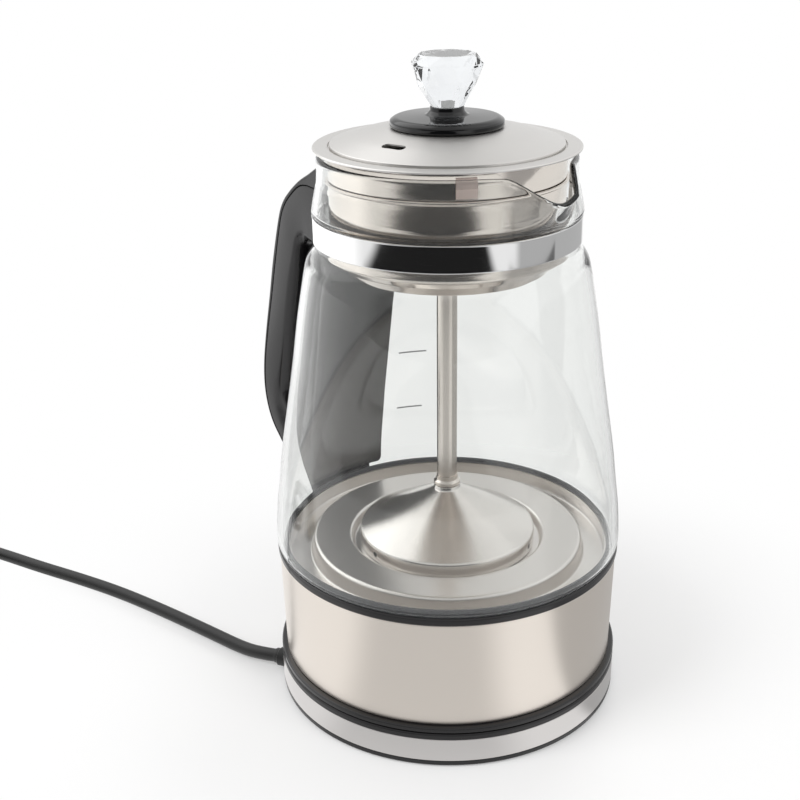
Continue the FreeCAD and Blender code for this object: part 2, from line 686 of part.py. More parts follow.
def tube_solid(path_edges, radius):
    """Sweep a round section along a wire of lines and arcs."""
    wire = Part.Wire(path_edges)
    first = path_edges[0]
    start = first.valueAt(first.FirstParameter)
    heading = first.tangentAt(first.FirstParameter)
    section = Part.Wire(Part.makeCircle(radius, start, heading))
    solid = wire.makePipeShell([section], True, False)
    error = solid.Volume / (math.pi * radius ** 2 * wire.Length) - 1
    print("tube length %.1f mm, volume against section times length %+.4f" % (wire.Length, error))
    return solid


def rounded_route(points):
    """Straight runs joined by tangent arcs as large as each pair of runs allows."""
    share = 0.45
    edges = []
    at = points[0]
    for before, corner, after in zip(points, points[1:], points[2:]):
        back = before - corner
        ahead = after - corner
        run = min(back.Length, ahead.Length)
        back.normalize()
        ahead.normalize()
        half_turn = (math.pi - back.getAngle(ahead)) / 2
        reach = share * run
        radius = reach / math.tan(half_turn)
        print("cord corner: turn %.1f degrees, radius %.1f mm" % (math.degrees(2 * half_turn), radius))
        entry = corner + back * reach
        leave = corner + ahead * reach
        bisector = (back + ahead).normalize()
        centre = corner + bisector * (radius / math.cos(half_turn))
        middle = centre - bisector * radius
        edges.append(Part.LineSegment(at, entry).toShape())
        edges.append(Part.Arc(entry, middle, leave).toShape())
        at = leave
    edges.append(Part.LineSegment(at, points[-1]).toShape())
    return edges


def arc_between(start, corner, end):
    """Arc through start and end that is tangent to the lines to their common corner."""
    chord_middle = (start + end) / 2
    half_chord = (end - start).Length / 2
    rise = (corner - chord_middle).Length
    turn = 2 * math.atan2(rise, half_chord)
    share = half_chord * math.tan(turn / 4) / rise
    middle = chord_middle + (corner - chord_middle) * share
    return Part.Arc(start, middle, end).toShape()


def biarc(start, heading, end, end_heading):
    """Two arcs from one point and direction to another."""
    chord = end - start
    total = heading + end_heading
    spread = 2 * (1 - heading.dot(end_heading))
    root = math.sqrt(chord.dot(total) ** 2 + spread * chord.dot(chord))
    reach = (root - chord.dot(total)) / spread
    first_corner = start + heading * reach
    second_corner = end - end_heading * reach
    joint = (first_corner + second_corner) / 2
    return [arc_between(start, first_corner, joint), arc_between(joint, second_corner, end)]


coil_start = Vector(-284.1, -131.6, 3.3)
coil_heading = (coil_start - Vector(*LEAD_POINTS[-1])).normalize()


def coil_centre():
    """Centre of the coil, to the left of the cord's heading where the coil starts."""
    left = UP.cross(coil_heading)
    centre = coil_start + left * float(s.coil_radius)
    return Vector(centre.x, centre.y, 0)


def coil_spot(turns):
    """Point on the coil: it winds in on the table, climbs one layer and winds out again."""
    step = float(s.coil_step)
    reverse = 1.5
    climb_start = 1.25
    climb = 0.5
    inwards = min(turns, reverse)
    outwards = max(turns - reverse, 0.0)
    radius = float(s.coil_radius) - step * inwards + step * outwards
    share = min(max((turns - climb_start) / climb, 0.0), 1.0)
    height = float(s.cord_rest) + step * share * share * (3 - 2 * share)
    centre = coil_centre()
    first = coil_start - centre
    angle = math.atan2(first.y, first.x) + 2 * math.pi * turns
    return Vector(centre.x + radius * math.cos(angle), centre.y + radius * math.sin(angle), height)


def coil_direction(turns):
    """Direction of the coil's line at a point, from two points close beside it."""
    if turns <= 0:
        return coil_heading
    near = 0.002
    return (coil_spot(turns + near) - coil_spot(turns - near)).normalize()


def wound_cord():
    """The coil: a straight start, two and a quarter turns and a straight end."""
    straight = 2 * float(s.cord_radius)
    spots = [index / QUARTERS_PER_TURN for index in range(int(CORD_TURNS * QUARTERS_PER_TURN) + 1)]
    begin = coil_start - coil_heading * straight
    edges = [Part.LineSegment(begin, coil_start).toShape()]
    for first, last in zip(spots, spots[1:]):
        edges += biarc(coil_spot(first), coil_direction(first), coil_spot(last), coil_direction(last))
    last_spot = coil_spot(CORD_TURNS)
    last_heading = coil_direction(CORD_TURNS)
    finish = last_spot + last_heading * straight
    edges.append(Part.LineSegment(last_spot, finish).toShape())
    least_gap(edges)
    return edges, begin, finish, last_heading


def least_gap(edges):
    """Print the least gap between turns, measured on points along the coil."""
    points = []
    travelled = 0.0
    for edge in edges:
        pieces = 24
        for piece in range(pieces):
            span = edge.LastParameter - edge.FirstParameter
            point = edge.valueAt(edge.FirstParameter + span * piece / pieces)
            if points:
                travelled += (point - points[-1][1]).Length
            points.append((travelled, point))
    apart = 12 * float(s.cord_radius)
    least = min((a[1] - b[1]).Length for a in points for b in points if b[0] - a[0] > apart)
    print("least gap of the coil to itself %.2f mm" % (least - 2 * float(s.cord_radius)))


def mains_cord():
    """Lead, coil and tail as tubes that meet face to face, and the plug at the end."""
    radius = float(s.cord_radius)
    coil_edges, begin, finish, heading = wound_cord()
    lead_route = [Vector(*point) for point in LEAD_POINTS] + [begin]
    inside = float(s.relief_length) - float(s.relief_lip)
    lead_route.insert(0, exit_point - exit_direction * (inside + 1))
    lead = doc.addObject("Part::Feature", "lead_tube")
    lead.Shape = tube_solid(rounded_route(lead_route), radius)
    keep("cord_lead", lead)
    coil = doc.addObject("Part::Feature", "coil_tube")
    coil.Shape = tube_solid(coil_edges, radius)
    keep("cord_coil", coil)
    side = UP.cross(heading)
    first = finish + heading * 14
    second = first + heading * 11 + side * 7.0 + Vector(0, 0, 2.4)
    third = second + heading * 8 + side * 11.5 + Vector(0, 0, 4.2)
    last = third + heading * 6.5 + side * 12.5
    last.z = TAIL_RISE
    tail = doc.addObject("Part::Feature", "tail_tube")
    tail.Shape = tube_solid(rounded_route([finish, first, second, third, last]), radius)
    keep("cord_tail", tail)
    plug(last, last - third)


def plug(entry, heading):
    """Round two-pin plug with side earth, lying on the table, its bend relief to the cord."""
    heading = Vector(heading.x, heading.y, 0).normalize()
    relief_end = float(s.plug_relief_length)
    grip_end = relief_end + float(s.plug_taper_length)
    face = grip_end + float(s.plug_body_length)
    radius = float(s.plug_radius)
    soft = 2.0
    points = [(0, 0), (float(s.plug_relief_radius), 0), (6.4, relief_end),
              (float(s.plug_back_radius), relief_end), (float(s.plug_back_radius) + 1.5, grip_end - 5),
              (radius - soft, grip_end), (radius, grip_end + soft), (radius, face - 1.0),
              (radius - 1.0, face), (0, face), (0, 0)]
    outline = Part.makePolygon([Vector(x, 0, z) for x, z in points])
    body = doc.addObject("Part::Feature", "plug_moulding")
    body.Shape = Part.Face(outline).revolve(Vector(0, 0, 0), UP, 360)
    turn = FreeCAD.Rotation(UP, heading)
    body.Placement = FreeCAD.Placement(entry, turn)
    side = UP.cross(heading)
    pins = []
    for sign in (-1, 1):
        start = entry + heading * face + side * (sign * float(s.plug_pin_spacing) / 2)
        pin = doc.addObject("Part::Cylinder", "plug_pin")
        bind(pin, "Radius", s.plug_pin_radius)
        bind(pin, "Height", s.plug_pin_length)
        pin.Placement = FreeCAD.Placement(start, turn)
        pins.append(pin)
        print("plug pin %d root at %.6f %.6f %.6f axis %.8f %.8f" % (
            sign, start.x, start.y, start.z, heading.x, heading.y))
    keep("plug_body", body)
    keep("plug_pins", group("plug_pin_pair", pins))


# Foot of the kettle

kettle_foot = s.deck_top + s.seat_gap
kettle_floor_top = kettle_foot + s.kettle_floor
socket_bore = s.tower_radius + s.socket_clearance
socket_outer = socket_bore + s.socket_wall
socket_flange_foot = kettle_floor_top + s.seat_gap
socket_flange_top = socket_flange_foot + s.socket_flange_height
socket_ceiling = s.tower_top + s.socket_clearance
sleeve_foot = s.kettle_ring_top + s.fixed_gap
cover_rim_outer = s.sleeve_foot_radius - s.sleeve_wall - s.fixed_gap
retainer_top = socket_flange_top + s.seat_gap + s.retainer_height


def kettle_cover():
    """Bottom cover of the kettle with the black ring that shows and the hole for the socket."""
    hole = socket_outer + s.seat_gap
    rim_inner = cover_rim_outer - 1.8
    keep("kettle_cover", turned("kettle_cover_body", [
        (hole, kettle_foot), (s.kettle_ring_radius, kettle_foot, 0.6),
        (s.kettle_ring_radius, s.kettle_ring_top, 0.6), (cover_rim_outer, s.kettle_ring_top),
        (cover_rim_outer, s.kettle_ring_top + 6), (rim_inner, s.kettle_ring_top + 6),
        (rim_inner, kettle_floor_top), (hole, kettle_floor_top)]))


def kettle_socket():
    """Female half of the connector, free to turn in the kettle, with its contacts."""
    top = socket_ceiling + s.socket_roof
    keep("kettle_socket", turned("socket_body", [
        (0, socket_ceiling), (socket_bore, socket_ceiling), (socket_bore, kettle_foot),
        (socket_outer, kettle_foot), (socket_outer, socket_flange_foot),
        (s.socket_flange_radius, socket_flange_foot), (s.socket_flange_radius, socket_flange_top),
        (socket_outer, socket_flange_top), (socket_outer, top), (0, top)]))
    tube_inner = s.tower_groove_inner + 0.4
    contact_top = socket_ceiling
    pin = cylinder("contact_pin", s.tower_bore_radius - 0.5,
                   contact_top - s.tower_bore_floor - 1.5, 0, 0, s.tower_bore_floor + 1.5)
    ring_outer = cylinder("contact_tube_outer", tube_inner + 0.9,
                          contact_top - s.tower_groove_floor - 1.5, 0, 0, s.tower_groove_floor + 1.5)
    ring_inner = cylinder("contact_tube_inner", tube_inner,
                          contact_top - s.tower_groove_floor, 0, 0, s.tower_groove_floor)
    ring = cut("contact_tube", ring_outer, ring_inner)
    keep("socket_contacts", group("socket_contact_set", [pin, ring]))


def socket_retainer():
    """Ring screwed to the kettle's bottom cover, which keeps the socket's flange down."""
    inner = socket_outer + s.seat_gap
    flange_side = s.socket_flange_radius + s.seat_gap
    keep("socket_retainer", turned("retainer_body", [
        (inner, socket_flange_top + s.seat_gap), (flange_side, socket_flange_top + s.seat_gap),
        (flange_side, kettle_floor_top), (s.retainer_radius, kettle_floor_top),
        (s.retainer_radius, retainer_top), (inner, retainer_top)]))


def sleeve_radius_at(height):
    """Outer radius of the steel sleeve at a height."""
    slope = (s.sleeve_head_radius - s.sleeve_foot_radius) / (s.sleeve_top - s.kettle_ring_top)
    return s.sleeve_foot_radius + (height - s.kettle_ring_top) * slope


def steel_sleeve():
    """Brushed steel sleeve, with a window for the switch and a hole for the handle's screw."""
    top = s.sleeve_top - s.fixed_gap
    blank = turned("sleeve_blank", [
        (s.sleeve_foot_radius - s.sleeve_wall, sleeve_foot), (s.sleeve_foot_radius, sleeve_foot),
        (s.sleeve_head_radius, top), (s.sleeve_head_radius - s.sleeve_wall, top)])
    window = box("switch_window",
                 (-s.base_radius - 6, -s.switch_neck_half_width - s.fixed_gap,
                  s.switch_height - s.switch_neck_half_height - s.fixed_gap),
                 (-s.base_radius + 12, s.switch_neck_half_width + s.fixed_gap,
                  s.switch_height + s.switch_neck_half_height + s.fixed_gap))
    holes = fused("sleeve_holes", [window, handle_screw_hole("sleeve_screw_hole")])
    keep("steel_sleeve", cut("sleeve_cut", blank, holes))


def sleeve_ring():
    """Black ring between the sleeve and the glass, with the groove that holds the glass."""
    groove_outer = s.glass_foot_radius + s.fixed_gap
    lip_outer = s.sleeve_head_radius - s.sleeve_wall - 0.5
    lip_inner = lip_outer - s.ring_lip_wall
    groove_floor = s.glass_foot - s.seal_wall - s.fixed_gap
    blank = turned("ring_blank", [
        (lip_inner, s.ring_lip_bottom), (lip_outer, s.ring_lip_bottom), (lip_outer, s.sleeve_top),
        (s.ring_radius, s.sleeve_top, 0.7), (s.ring_radius, s.ring_top, 0.7),
        (groove_outer, s.ring_top), (groove_outer, groove_floor), (lip_inner, groove_floor)])
    keep("sleeve_ring", cut("ring_cut", blank, handle_screw_hole("ring_screw_hole")))


def handle_screw_hole(name):
    """Clearance hole for the screw through the foot of the handle."""
    item = doc.addObject("Part::Cylinder", name)
    bind(item, "Radius", s.screw_shank + s.fixed_gap)
    bind(item, "Height", 20)
    return place(item, -s.base_radius - 6, 0, s.handle_screw_height, Vector(0, 1, 0), 90)


# Heater

def heater_plate():
    """Steel plate with a raised ring, a channel and a turned-up edge, and the disc of its well."""
    wall = s.plate_wall
    edge_outer = s.glass_foot_radius - s.glass_wall - s.seal_wall - 2 * s.fixed_gap
    edge_inner = edge_outer - wall
    lap_inner = s.plate_ring_inner - s.well_lap
    lap_outer = s.plate_ring_inner - 0.7
    lap_height = s.plate_well_height - wall / 2
    half_gap = s.fixed_gap / 2
    keep("heater_plate", turned("plate_body", [
        (lap_inner + s.fixed_gap, s.plate_well_height - wall),
        (s.plate_ring_inner + 0.1, s.plate_well_height - wall),
        (s.plate_ring_inner + 0.9, s.plate_ring_height - wall),
        (s.plate_ring_outer - 1.1, s.plate_ring_height - wall),
        (s.plate_ring_outer - 0.2, s.plate_channel_height - wall),
        (edge_outer, s.plate_channel_height - wall), (edge_outer, s.plate_lip_height),
        (edge_inner, s.plate_lip_height), (edge_inner, s.plate_channel_height, 0.9),
        (s.plate_ring_outer + 0.6, s.plate_channel_height, 0.9),
        (s.plate_ring_outer - 0.4, s.plate_ring_height, s.plate_corner),
        (s.plate_ring_inner + 0.3, s.plate_ring_height, s.plate_corner),
        (lap_outer, lap_height - half_gap), (lap_inner + s.fixed_gap, lap_height - half_gap)]))
    keep("heater_well", turned("well_body", [
        (0, s.plate_well_height - wall), (lap_inner, s.plate_well_height - wall),
        (lap_inner, lap_height + half_gap), (lap_outer - s.fixed_gap, lap_height + half_gap),
        (lap_outer - s.fixed_gap, s.plate_well_height), (0, s.plate_well_height)]))


def heating_element():
    """Heat spreader, ring-shaped tubular element with cold ends, and snap-disc thermostat."""
    spreader_top = s.plate_ring_height - s.plate_wall - s.fixed_gap
    spreader_foot = spreader_top - s.spreader_wall
    keep("heat_spreader", turned("spreader_body", [
        (s.plate_ring_inner + 2.2, spreader_foot), (s.plate_ring_outer - 2.6, spreader_foot),
        (s.plate_ring_outer - 2.6, spreader_top), (s.plate_ring_inner + 2.2, spreader_top)]))
    middle = spreader_foot - s.element_radius - s.fixed_gap
    ring = doc.addObject("Part::Torus", "element_ring")
    bind(ring, "Radius1", s.element_circle)
    bind(ring, "Radius2", s.element_radius)
    bind(ring, "Angle3", s.element_sweep)
    place(ring, 0, 0, middle)
    parts = [ring]
    for index, angle in enumerate((0.0, float(s.element_sweep))):
        spot = math.radians(angle)
        parts.append(cylinder("element_end", s.element_radius, s.terminal_length,
                              s.element_circle * math.cos(spot), s.element_circle * math.sin(spot),
                              middle - s.terminal_length))
        ball = doc.addObject("Part::Sphere", "element_bend")
        bind(ball, "Radius", s.element_radius + 0.1)
        parts.append(place(ball, s.element_circle * math.cos(spot),
                           s.element_circle * math.sin(spot), middle))
    keep("heating_element", fused("element_body", parts))
    disc_top = s.plate_well_height - s.plate_wall - s.fixed_gap
    keep("thermostat", turned("thermostat_body", [
        (0, disc_top - s.thermostat_height), (s.thermostat_radius, disc_top - s.thermostat_height),
        (s.thermostat_radius, disc_top - s.thermostat_flange_height),
        (s.thermostat_flange_radius, disc_top - s.thermostat_flange_height),
        (s.thermostat_flange_radius, disc_top), (0, disc_top)]))


def glass_seal():
    """Silicone seal under the glass and up its inner side."""
    inner_face = s.glass_foot_radius - s.glass_wall - s.fixed_gap
    foot = s.glass_foot - s.seal_wall
    keep("glass_seal", turned("seal_body", [
        (inner_face - s.seal_wall, foot), (s.glass_foot_radius, foot),
        (s.glass_foot_radius, s.glass_foot - s.fixed_gap / 3),
        (inner_face, s.glass_foot - s.fixed_gap / 3),
        (inner_face, s.glass_foot + s.seal_height),
        (inner_face - s.seal_wall, s.glass_foot + s.seal_height, 0.4)]))


# Glass vessel

def glass_outline(inset, foot, rim):
    """Outer line of the glass from its foot to its rim, drawn in by a wall."""
    shoulder_low = s.neck_band_bottom - 4.6
    return [
        (s.glass_foot_radius - inset, foot),
        (s.glass_foot_radius - inset, s.ring_top + s.fixed_gap),
        (s.glass_belly_radius - inset, s.ring_top + s.fixed_gap + 1.2),
        (s.glass_belly_radius - inset, s.glass_belly_height, 30.0),
        (s.glass_mid_radius + 0.4 - inset, s.glass_mid_height, 300.0),
        (s.glass_shoulder_radius + 0.2 - inset, s.glass_shoulder_height + 0.6, 3.0),
        (s.glass_neck_radius - inset, shoulder_low + 1.6, 1.2),
        (s.glass_neck_radius - inset, s.neck_band_top + 0.2, 0.6),
        (s.glass_collar_radius - inset, s.neck_band_top + 1.2, 1.0),
        (s.glass_collar_radius - 0.2 - inset, s.neck_band_top + 4.4, 9.0),
        (s.glass_rim_radius - inset, s.glass_rim_height - 9, 20.0),
        (s.glass_rim_radius - inset, rim)]


def lip_solid(name, inset):
    """The bulge of the pouring lip, a skewed cone that opens upwards out of the neck."""
    rise = s.lip_height - s.lip_root_height
    reach = s.lip_reach - inset
    sections = []
    specs = [
        (s.lip_root_height - 1, s.glass_neck_radius - 2 - inset, 7.0),
        (s.lip_root_height + rise, reach, s.lip_width * 0.62 - inset),
        (s.glass_rim_height + 6, reach + 8, s.lip_width + 2 - inset)]
    for index, (height, tip, half) in enumerate(specs):
        section = doc.addObject("Part::Ellipse", "%s_section_%d" % (name, index))
        middle = tip - half * 1.15
        bind(section, "MajorRadius", half * 1.15)
        bind(section, "MinorRadius", half)
        place(section, middle, 0, height)
        sections.append(section)
    loft = doc.addObject("Part::Loft", name)
    loft.Sections = sections
    loft.Solid = True
    loft.Ruled = False
    return loft


def glass_vessel():
    """Conical glass with a narrower neck, a groove for the band, and a pouring lip."""
    above = s.glass_rim_height + 3
    outer = glass_outline(0, s.glass_foot, above)
    axis_end = [(0, above), (0, s.glass_foot)]
    outer_body = turned("glass_outer", outer + axis_end)
    inner = glass_outline(s.glass_wall, s.glass_foot - 1, s.glass_rim_height + 4)
    inner_body = turned("glass_inner", inner + [(0, s.glass_rim_height + 4), (0, s.glass_foot - 1)])
    filled = fused("glass_filled", [outer_body, lip_solid("lip_outer", 0)])
    hollow = fused("glass_hollow", [inner_body, lip_solid("lip_inner", s.glass_wall * 0.8)])
    shell = cut("glass_shell", filled, hollow)
    drop = s.glass_rim_height - s.lip_height
    run = s.lip_reach - s.glass_rim_radius + 1.6
    shoulder = s.glass_rim_radius - 1.6
    trim = padded("lip_trim", [
        (-90, s.glass_rim_height), (shoulder, s.glass_rim_height, 8.0),
        (shoulder + run * 2, s.glass_rim_height - drop * 2),
        (shoulder + run * 2, s.glass_rim_height + 20), (-90, s.glass_rim_height + 20)], 90)
    keep("glass_vessel", cut("glass_trimmed", shell, trim))


def neck_band():
    """Chrome band round the neck with two tabs that reach into the handle, and its screw."""
    inner = s.glass_neck_radius + s.fixed_gap
    outer = inner + s.neck_band_wall
    ring = turned("band_ring", [
        (inner, s.neck_band_bottom), (outer, s.neck_band_bottom, 0.3),
        (outer, s.neck_band_top, 0.3), (inner, s.neck_band_top)])
    middle = (s.neck_band_bottom + s.neck_band_top) / 2
    low = middle - s.band_tab_height / 2
    high = middle + s.band_tab_height / 2
    half_gap = s.band_tab_gap / 2
    wall = s.neck_band_wall
    split = box("band_split", (-outer - 2, -half_gap, s.neck_band_bottom - 1),
                (-inner + 2, half_gap, s.neck_band_top + 1))
    open_ring = cut("band_open", ring, split)
    tab_end = -outer - s.band_tab_length
    left = box("band_tab_left", (tab_end, -half_gap - wall, low), (-inner - wall / 2, -half_gap, high))
    right = box("band_tab_right", (tab_end, half_gap, low), (-inner - wall / 2, half_gap + wall, high))
    whole = fused("band_whole", [open_ring, left, right])
    screw_x = -outer - s.band_tab_length / 2
    hole = doc.addObject("Part::Cylinder", "band_screw_hole")
    bind(hole, "Radius", s.screw_shank + s.fixed_gap)
    bind(hole, "Height", 20)
    place(hole, screw_x, 10, middle, Vector(1, 0, 0), 90)
    keep("neck_band", cut("band_drilled", whole, hole))
    reach = half_gap + wall + s.fixed_gap
    shank = doc.addObject("Part::Cylinder", "band_screw_shank")
    bind(shank, "Radius", s.screw_shank)
    bind(shank, "Height", 2 * reach + 1.4)
    place(shank, screw_x, reach, middle, Vector(1, 0, 0), 90)
    head = doc.addObject("Part::Cylinder", "band_screw_head")
    bind(head, "Radius", s.screw_head - 0.3)
    bind(head, "Height", s.screw_head_height)
    place(head, screw_x, reach + s.screw_head_height, middle, Vector(1, 0, 0), 90)
    keep("neck_band_screw", fused("band_screw", [shank, head]))


# Handle

def handle_outline(inset):
    """Outer line of the handle from the neck down to its foot, drawn in by a depth."""
    low_x = s.handle_foot_reach - inset
    return [
        (-(s.handle_corner_reach - inset), s.handle_corner_height - inset * 0.7, 11.0),
        (-(s.handle_heel_reach - inset), s.handle_heel_height, 40.0),
        (-(s.handle_elbow_reach - inset), s.handle_elbow_height + inset * 0.25, 16.0),
        (-low_x, s.handle_foot_height + inset * 0.25, 4.0)]


def glass_side(clearance):
    """Body inside the outer surface of the glass, the ring and the sleeve, used to cut the handle."""
    sleeve_side = s.ring_radius + clearance
    lower = [(0, s.handle_foot_bottom - 5), (sleeve_side, s.handle_foot_bottom - 5),
             (sleeve_side, s.ring_top + 1)]
    upper = [
        (s.glass_belly_radius + clearance, s.ring_top + 1.5),
        (s.glass_belly_radius + clearance, s.glass_belly_height, 30.0),
        (s.glass_mid_radius + 0.4 + clearance, s.glass_mid_height, 300.0),
        (s.glass_shoulder_radius + 0.2 + clearance, s.glass_shoulder_height + 0.6),
        (s.glass_collar_radius + 0.3 + clearance, s.neck_band_bottom - 2),
        (s.glass_collar_radius + 0.3 + clearance, s.handle_top_height + 8),
        (0, s.handle_top_height + 8)]
    return lower + upper


def handle_block():
    """The whole handle before it is split: loop, finger opening and the plate along the glass."""
    root = -(s.glass_rim_radius - 6)
    foot_inner = -(s.glass_rim_radius)
    outline = [(root, s.handle_top_height + 5.8)] + handle_outline(0) + [
        (-s.handle_foot_reach, s.handle_foot_bottom), (foot_inner, s.handle_foot_bottom)]
    loop = padded("handle_loop", outline, s.handle_half_width)
    plate_radius = s.back_plate_wall + s.seat_gap
    plate = turned("handle_plate_ring", [
        (30, s.back_plate_bottom), (s.glass_belly_radius + plate_radius, s.back_plate_bottom),
        (s.glass_belly_radius + plate_radius, s.glass_belly_height + 1, 20.0),
        (s.glass_mid_radius + 0.4 + plate_radius, s.glass_mid_height, 300.0),
        (s.glass_shoulder_radius + 0.4 + plate_radius, s.back_plate_top), (30, s.back_plate_top)])
    limits = box("handle_plate_limits", (-110, -s.back_plate_half_width, s.back_plate_bottom - 1),
                 (-30, s.back_plate_half_width, s.back_plate_top + 1))
    solid = fused("handle_solid", [loop, common("handle_plate", plate, limits)])
    opening = padded("finger_opening", [
        (-(s.glass_shoulder_radius + plate_radius + 3.4), s.grip_gap_top_height - 1.5, 5.0),
        (-s.grip_gap_top_reach, s.grip_gap_top_height, 8.0),
        (-s.grip_gap_heel_reach, s.grip_gap_heel_height, 10.0),
        (-(s.glass_belly_radius + plate_radius - 1.2), s.grip_gap_root_height, 4.0)], 40)
    pierced = cut("handle_pierced", solid, opening)
    return cut("handle_fitted", pierced, turned("handle_seat", glass_side(s.seat_gap)))


def outer_shell_zone(name, joint):
    """Space of the outer half: a strip along the grip that is deeper over the upper arm."""
    deep = s.outer_shell_arm_depth + joint
    strip = s.outer_shell_depth + joint
    foot = s.handle_foot_height + s.outer_shell_depth * 1.3 - joint
    inner_line = [
        (-(s.handle_root_radius - 20), s.handle_top_height - 5 - deep),
        (-(s.handle_corner_reach - s.outer_shell_arm_depth - 4), s.handle_top_height - 5 - deep, 3.0),
        (-(s.handle_corner_reach - strip * 0.3), s.handle_corner_height - strip * 2.4, 5.0),
        (-(s.handle_heel_reach - strip), s.handle_heel_height, 40.0),
        (-(s.handle_elbow_reach - strip), s.handle_elbow_height + strip * 0.25, 14.0),
        (-(s.handle_foot_reach - 0.5), foot)]
    far = 150
    outside = [(-far, foot), (-far, s.handle_top_height + 30),
               (-(s.handle_root_radius - 20), s.handle_top_height + 30)]
    return padded(name, inner_line + outside, 60)


def handle_shells():
    """Outer and inner half of the handle with a visible joint, softened edges and the tab pocket."""
    block = handle_block()
    doc.recompute()
    outer_zone = outer_shell_zone("outer_zone", 0)
    outer = common("outer_shell_raw", block, outer_zone)
    joint_zone = outer_shell_zone("joint_zone", s.shell_joint)
    inner = cut("inner_shell_raw", block, fused("inner_zone", [outer_zone, joint_zone]))
    middle = (s.neck_band_bottom + s.neck_band_top) / 2
    gap = s.fixed_gap * 2
    tab_side = s.band_tab_gap / 2 + s.neck_band_wall + gap
    band_outer = s.glass_neck_radius + s.fixed_gap + s.neck_band_wall
    pocket = box("tab_pocket",
                 (-band_outer - s.band_tab_length - gap, -tab_side - 3.2,
                  middle - s.band_tab_height / 2 - gap),
                 (-band_outer + 8, tab_side + 3.2, middle + s.band_tab_height / 2 + gap))
    holes = fused("inner_shell_holes", [pocket, handle_screw_hole("shell_screw_hole")])
    cut_inner = cut("inner_shell_cut", inner, holes)
    doc.recompute()
    keep("handle_inner_shell", softened("inner_shell", cut_inner, opening_edges, s.grip_round))
    keep("handle_outer_shell", outer)
    screw_head_x = -(s.sleeve_head_radius - s.sleeve_wall - 0.5 - s.ring_lip_wall - s.fixed_gap)
    head = doc.addObject("Part::Cylinder", "foot_screw_head")
    bind(head, "Radius", s.screw_head)
    bind(head, "Height", s.screw_head_height)
    place(head, screw_head_x, 0, s.handle_screw_height, Vector(0, 1, 0), 90)
    shank = doc.addObject("Part::Cylinder", "foot_screw_shank")
    bind(shank, "Radius", s.screw_shank)
    bind(shank, "Height", s.handle_screw_length)
    place(shank, screw_head_x - s.handle_screw_length, 0, s.handle_screw_height, Vector(0, 1, 0), 90)
    keep("handle_screw", fused("foot_screw", [head, shank]))


def opening_edges(shape):
    """Edges of the finger opening on the two sides of the grip, away from the plate."""
    side = float(s.handle_half_width)
    chosen = []
    for index, edge in enumerate(shape.Edges, start=1):
        bounds = edge.BoundBox
        flat = bounds.YLength < 0.01 and abs(abs(bounds.Center.y) - side) < 0.01
        inside = bounds.XMin > -float(s.grip_gap_heel_reach) - 1
        middle = bounds.ZMin > float(s.grip_gap_root_height) and (
            bounds.ZMax < float(s.grip_gap_top_height) + 1)
        near = edge.valueAt((edge.FirstParameter + edge.LastParameter) / 2)
        line = float(s.glass_belly_radius) + 6
        if flat and inside and middle and near.x < -line + (near.z - 80) * 0.155:
            chosen.append(index)
    return chosen


def softened(name, base, chooser, radius):
    """Round the chosen edges, if there are any."""
    edges = chooser(base.Shape)
    print("%s: %d edges rounded" % (name, len(edges)))
    if not edges:
        return base
    fillet = doc.addObject("Part::Fillet", name)
    fillet.Base = base
    fillet.Edges = [(index, float(radius), float(radius)) for index in edges]
    return fillet


# Switch at the back of the sleeve

def switch():
    """Switch surround on the sleeve, the lever on its pin and the microswitch behind it."""
    height = s.switch_height
    seat = sleeve_radius_at(height + s.switch_half_height) + s.fixed_gap
    flange = box("switch_flange", (-s.switch_face_reach, -s.switch_half_width,
                                   height - s.switch_half_height),
                 (-s.switch_neck_reach, s.switch_half_width, height + s.switch_half_height))
    seat_body = cylinder("switch_seat", seat, 40, 0, 0, height - 20)
    flange_fitted = cut("switch_flange_fitted", flange, seat_body)
    neck = box("switch_neck", (-s.switch_face_reach, -s.switch_neck_half_width,
                               height - s.switch_neck_half_height),
               (-s.switch_neck_reach, s.switch_neck_half_width, height + s.switch_neck_half_height))
    whole = fused("switch_solid", [flange_fitted, neck])
    side = s.lever_half_width + s.lever_gap
    pocket = box("switch_pocket", (-s.switch_face_reach - 3, -side, height - 6.0),
                 (-s.switch_neck_reach - 4.5, side, height + 6.0))
    hole = doc.addObject("Part::Cylinder", "switch_pin_hole")
    bind(hole, "Radius", s.lever_pivot_radius + 0.02)
    bind(hole, "Height", 2 * (side + 2.6))
    place(hole, -s.lever_pivot_reach, side + 2.6, height, Vector(1, 0, 0), 90)
    keep("switch_surround", cut("surround_cut", whole, fused("surround_holes", [pocket, hole])))
    pin = doc.addObject("Part::Cylinder", "lever_pin")
    bind(pin, "Radius", s.lever_pivot_radius)
    bind(pin, "Height", 2 * (side + 2.4))
    place(pin, -s.lever_pivot_reach, side + 2.4, height, Vector(1, 0, 0), 90)
    keep("switch_pin", pin)
    half = s.lever_paddle_thickness / 2
    hub = doc.addObject("Part::Cylinder", "lever_hub")
    bind(hub, "Radius", s.lever_hub_radius)
    bind(hub, "Height", 2 * s.lever_half_width)
    place(hub, -s.lever_pivot_reach, s.lever_half_width, height, Vector(1, 0, 0), 90)
    paddle = box("lever_paddle", (-s.lever_reach, -s.lever_half_width, height - half),
                 (-s.lever_pivot_reach, s.lever_half_width, height + half))
    bore = doc.addObject("Part::Cylinder", "lever_bore")
    bind(bore, "Radius", s.lever_pivot_radius + 0.05)
    bind(bore, "Height", 2 * s.lever_half_width + 2)
    place(bore, -s.lever_pivot_reach, s.lever_half_width + 1, height, Vector(1, 0, 0), 90)
    keep("switch_lever", cut("lever_cut", fused("lever_solid", [hub, paddle]), bore))
    back = -s.switch_neck_reach + s.fixed_gap
    keep("microswitch", box("microswitch_body", (back, -s.lever_half_width - 2, height - 5),
                            (back + s.microswitch_length, s.lever_half_width + 2, height + 5)))


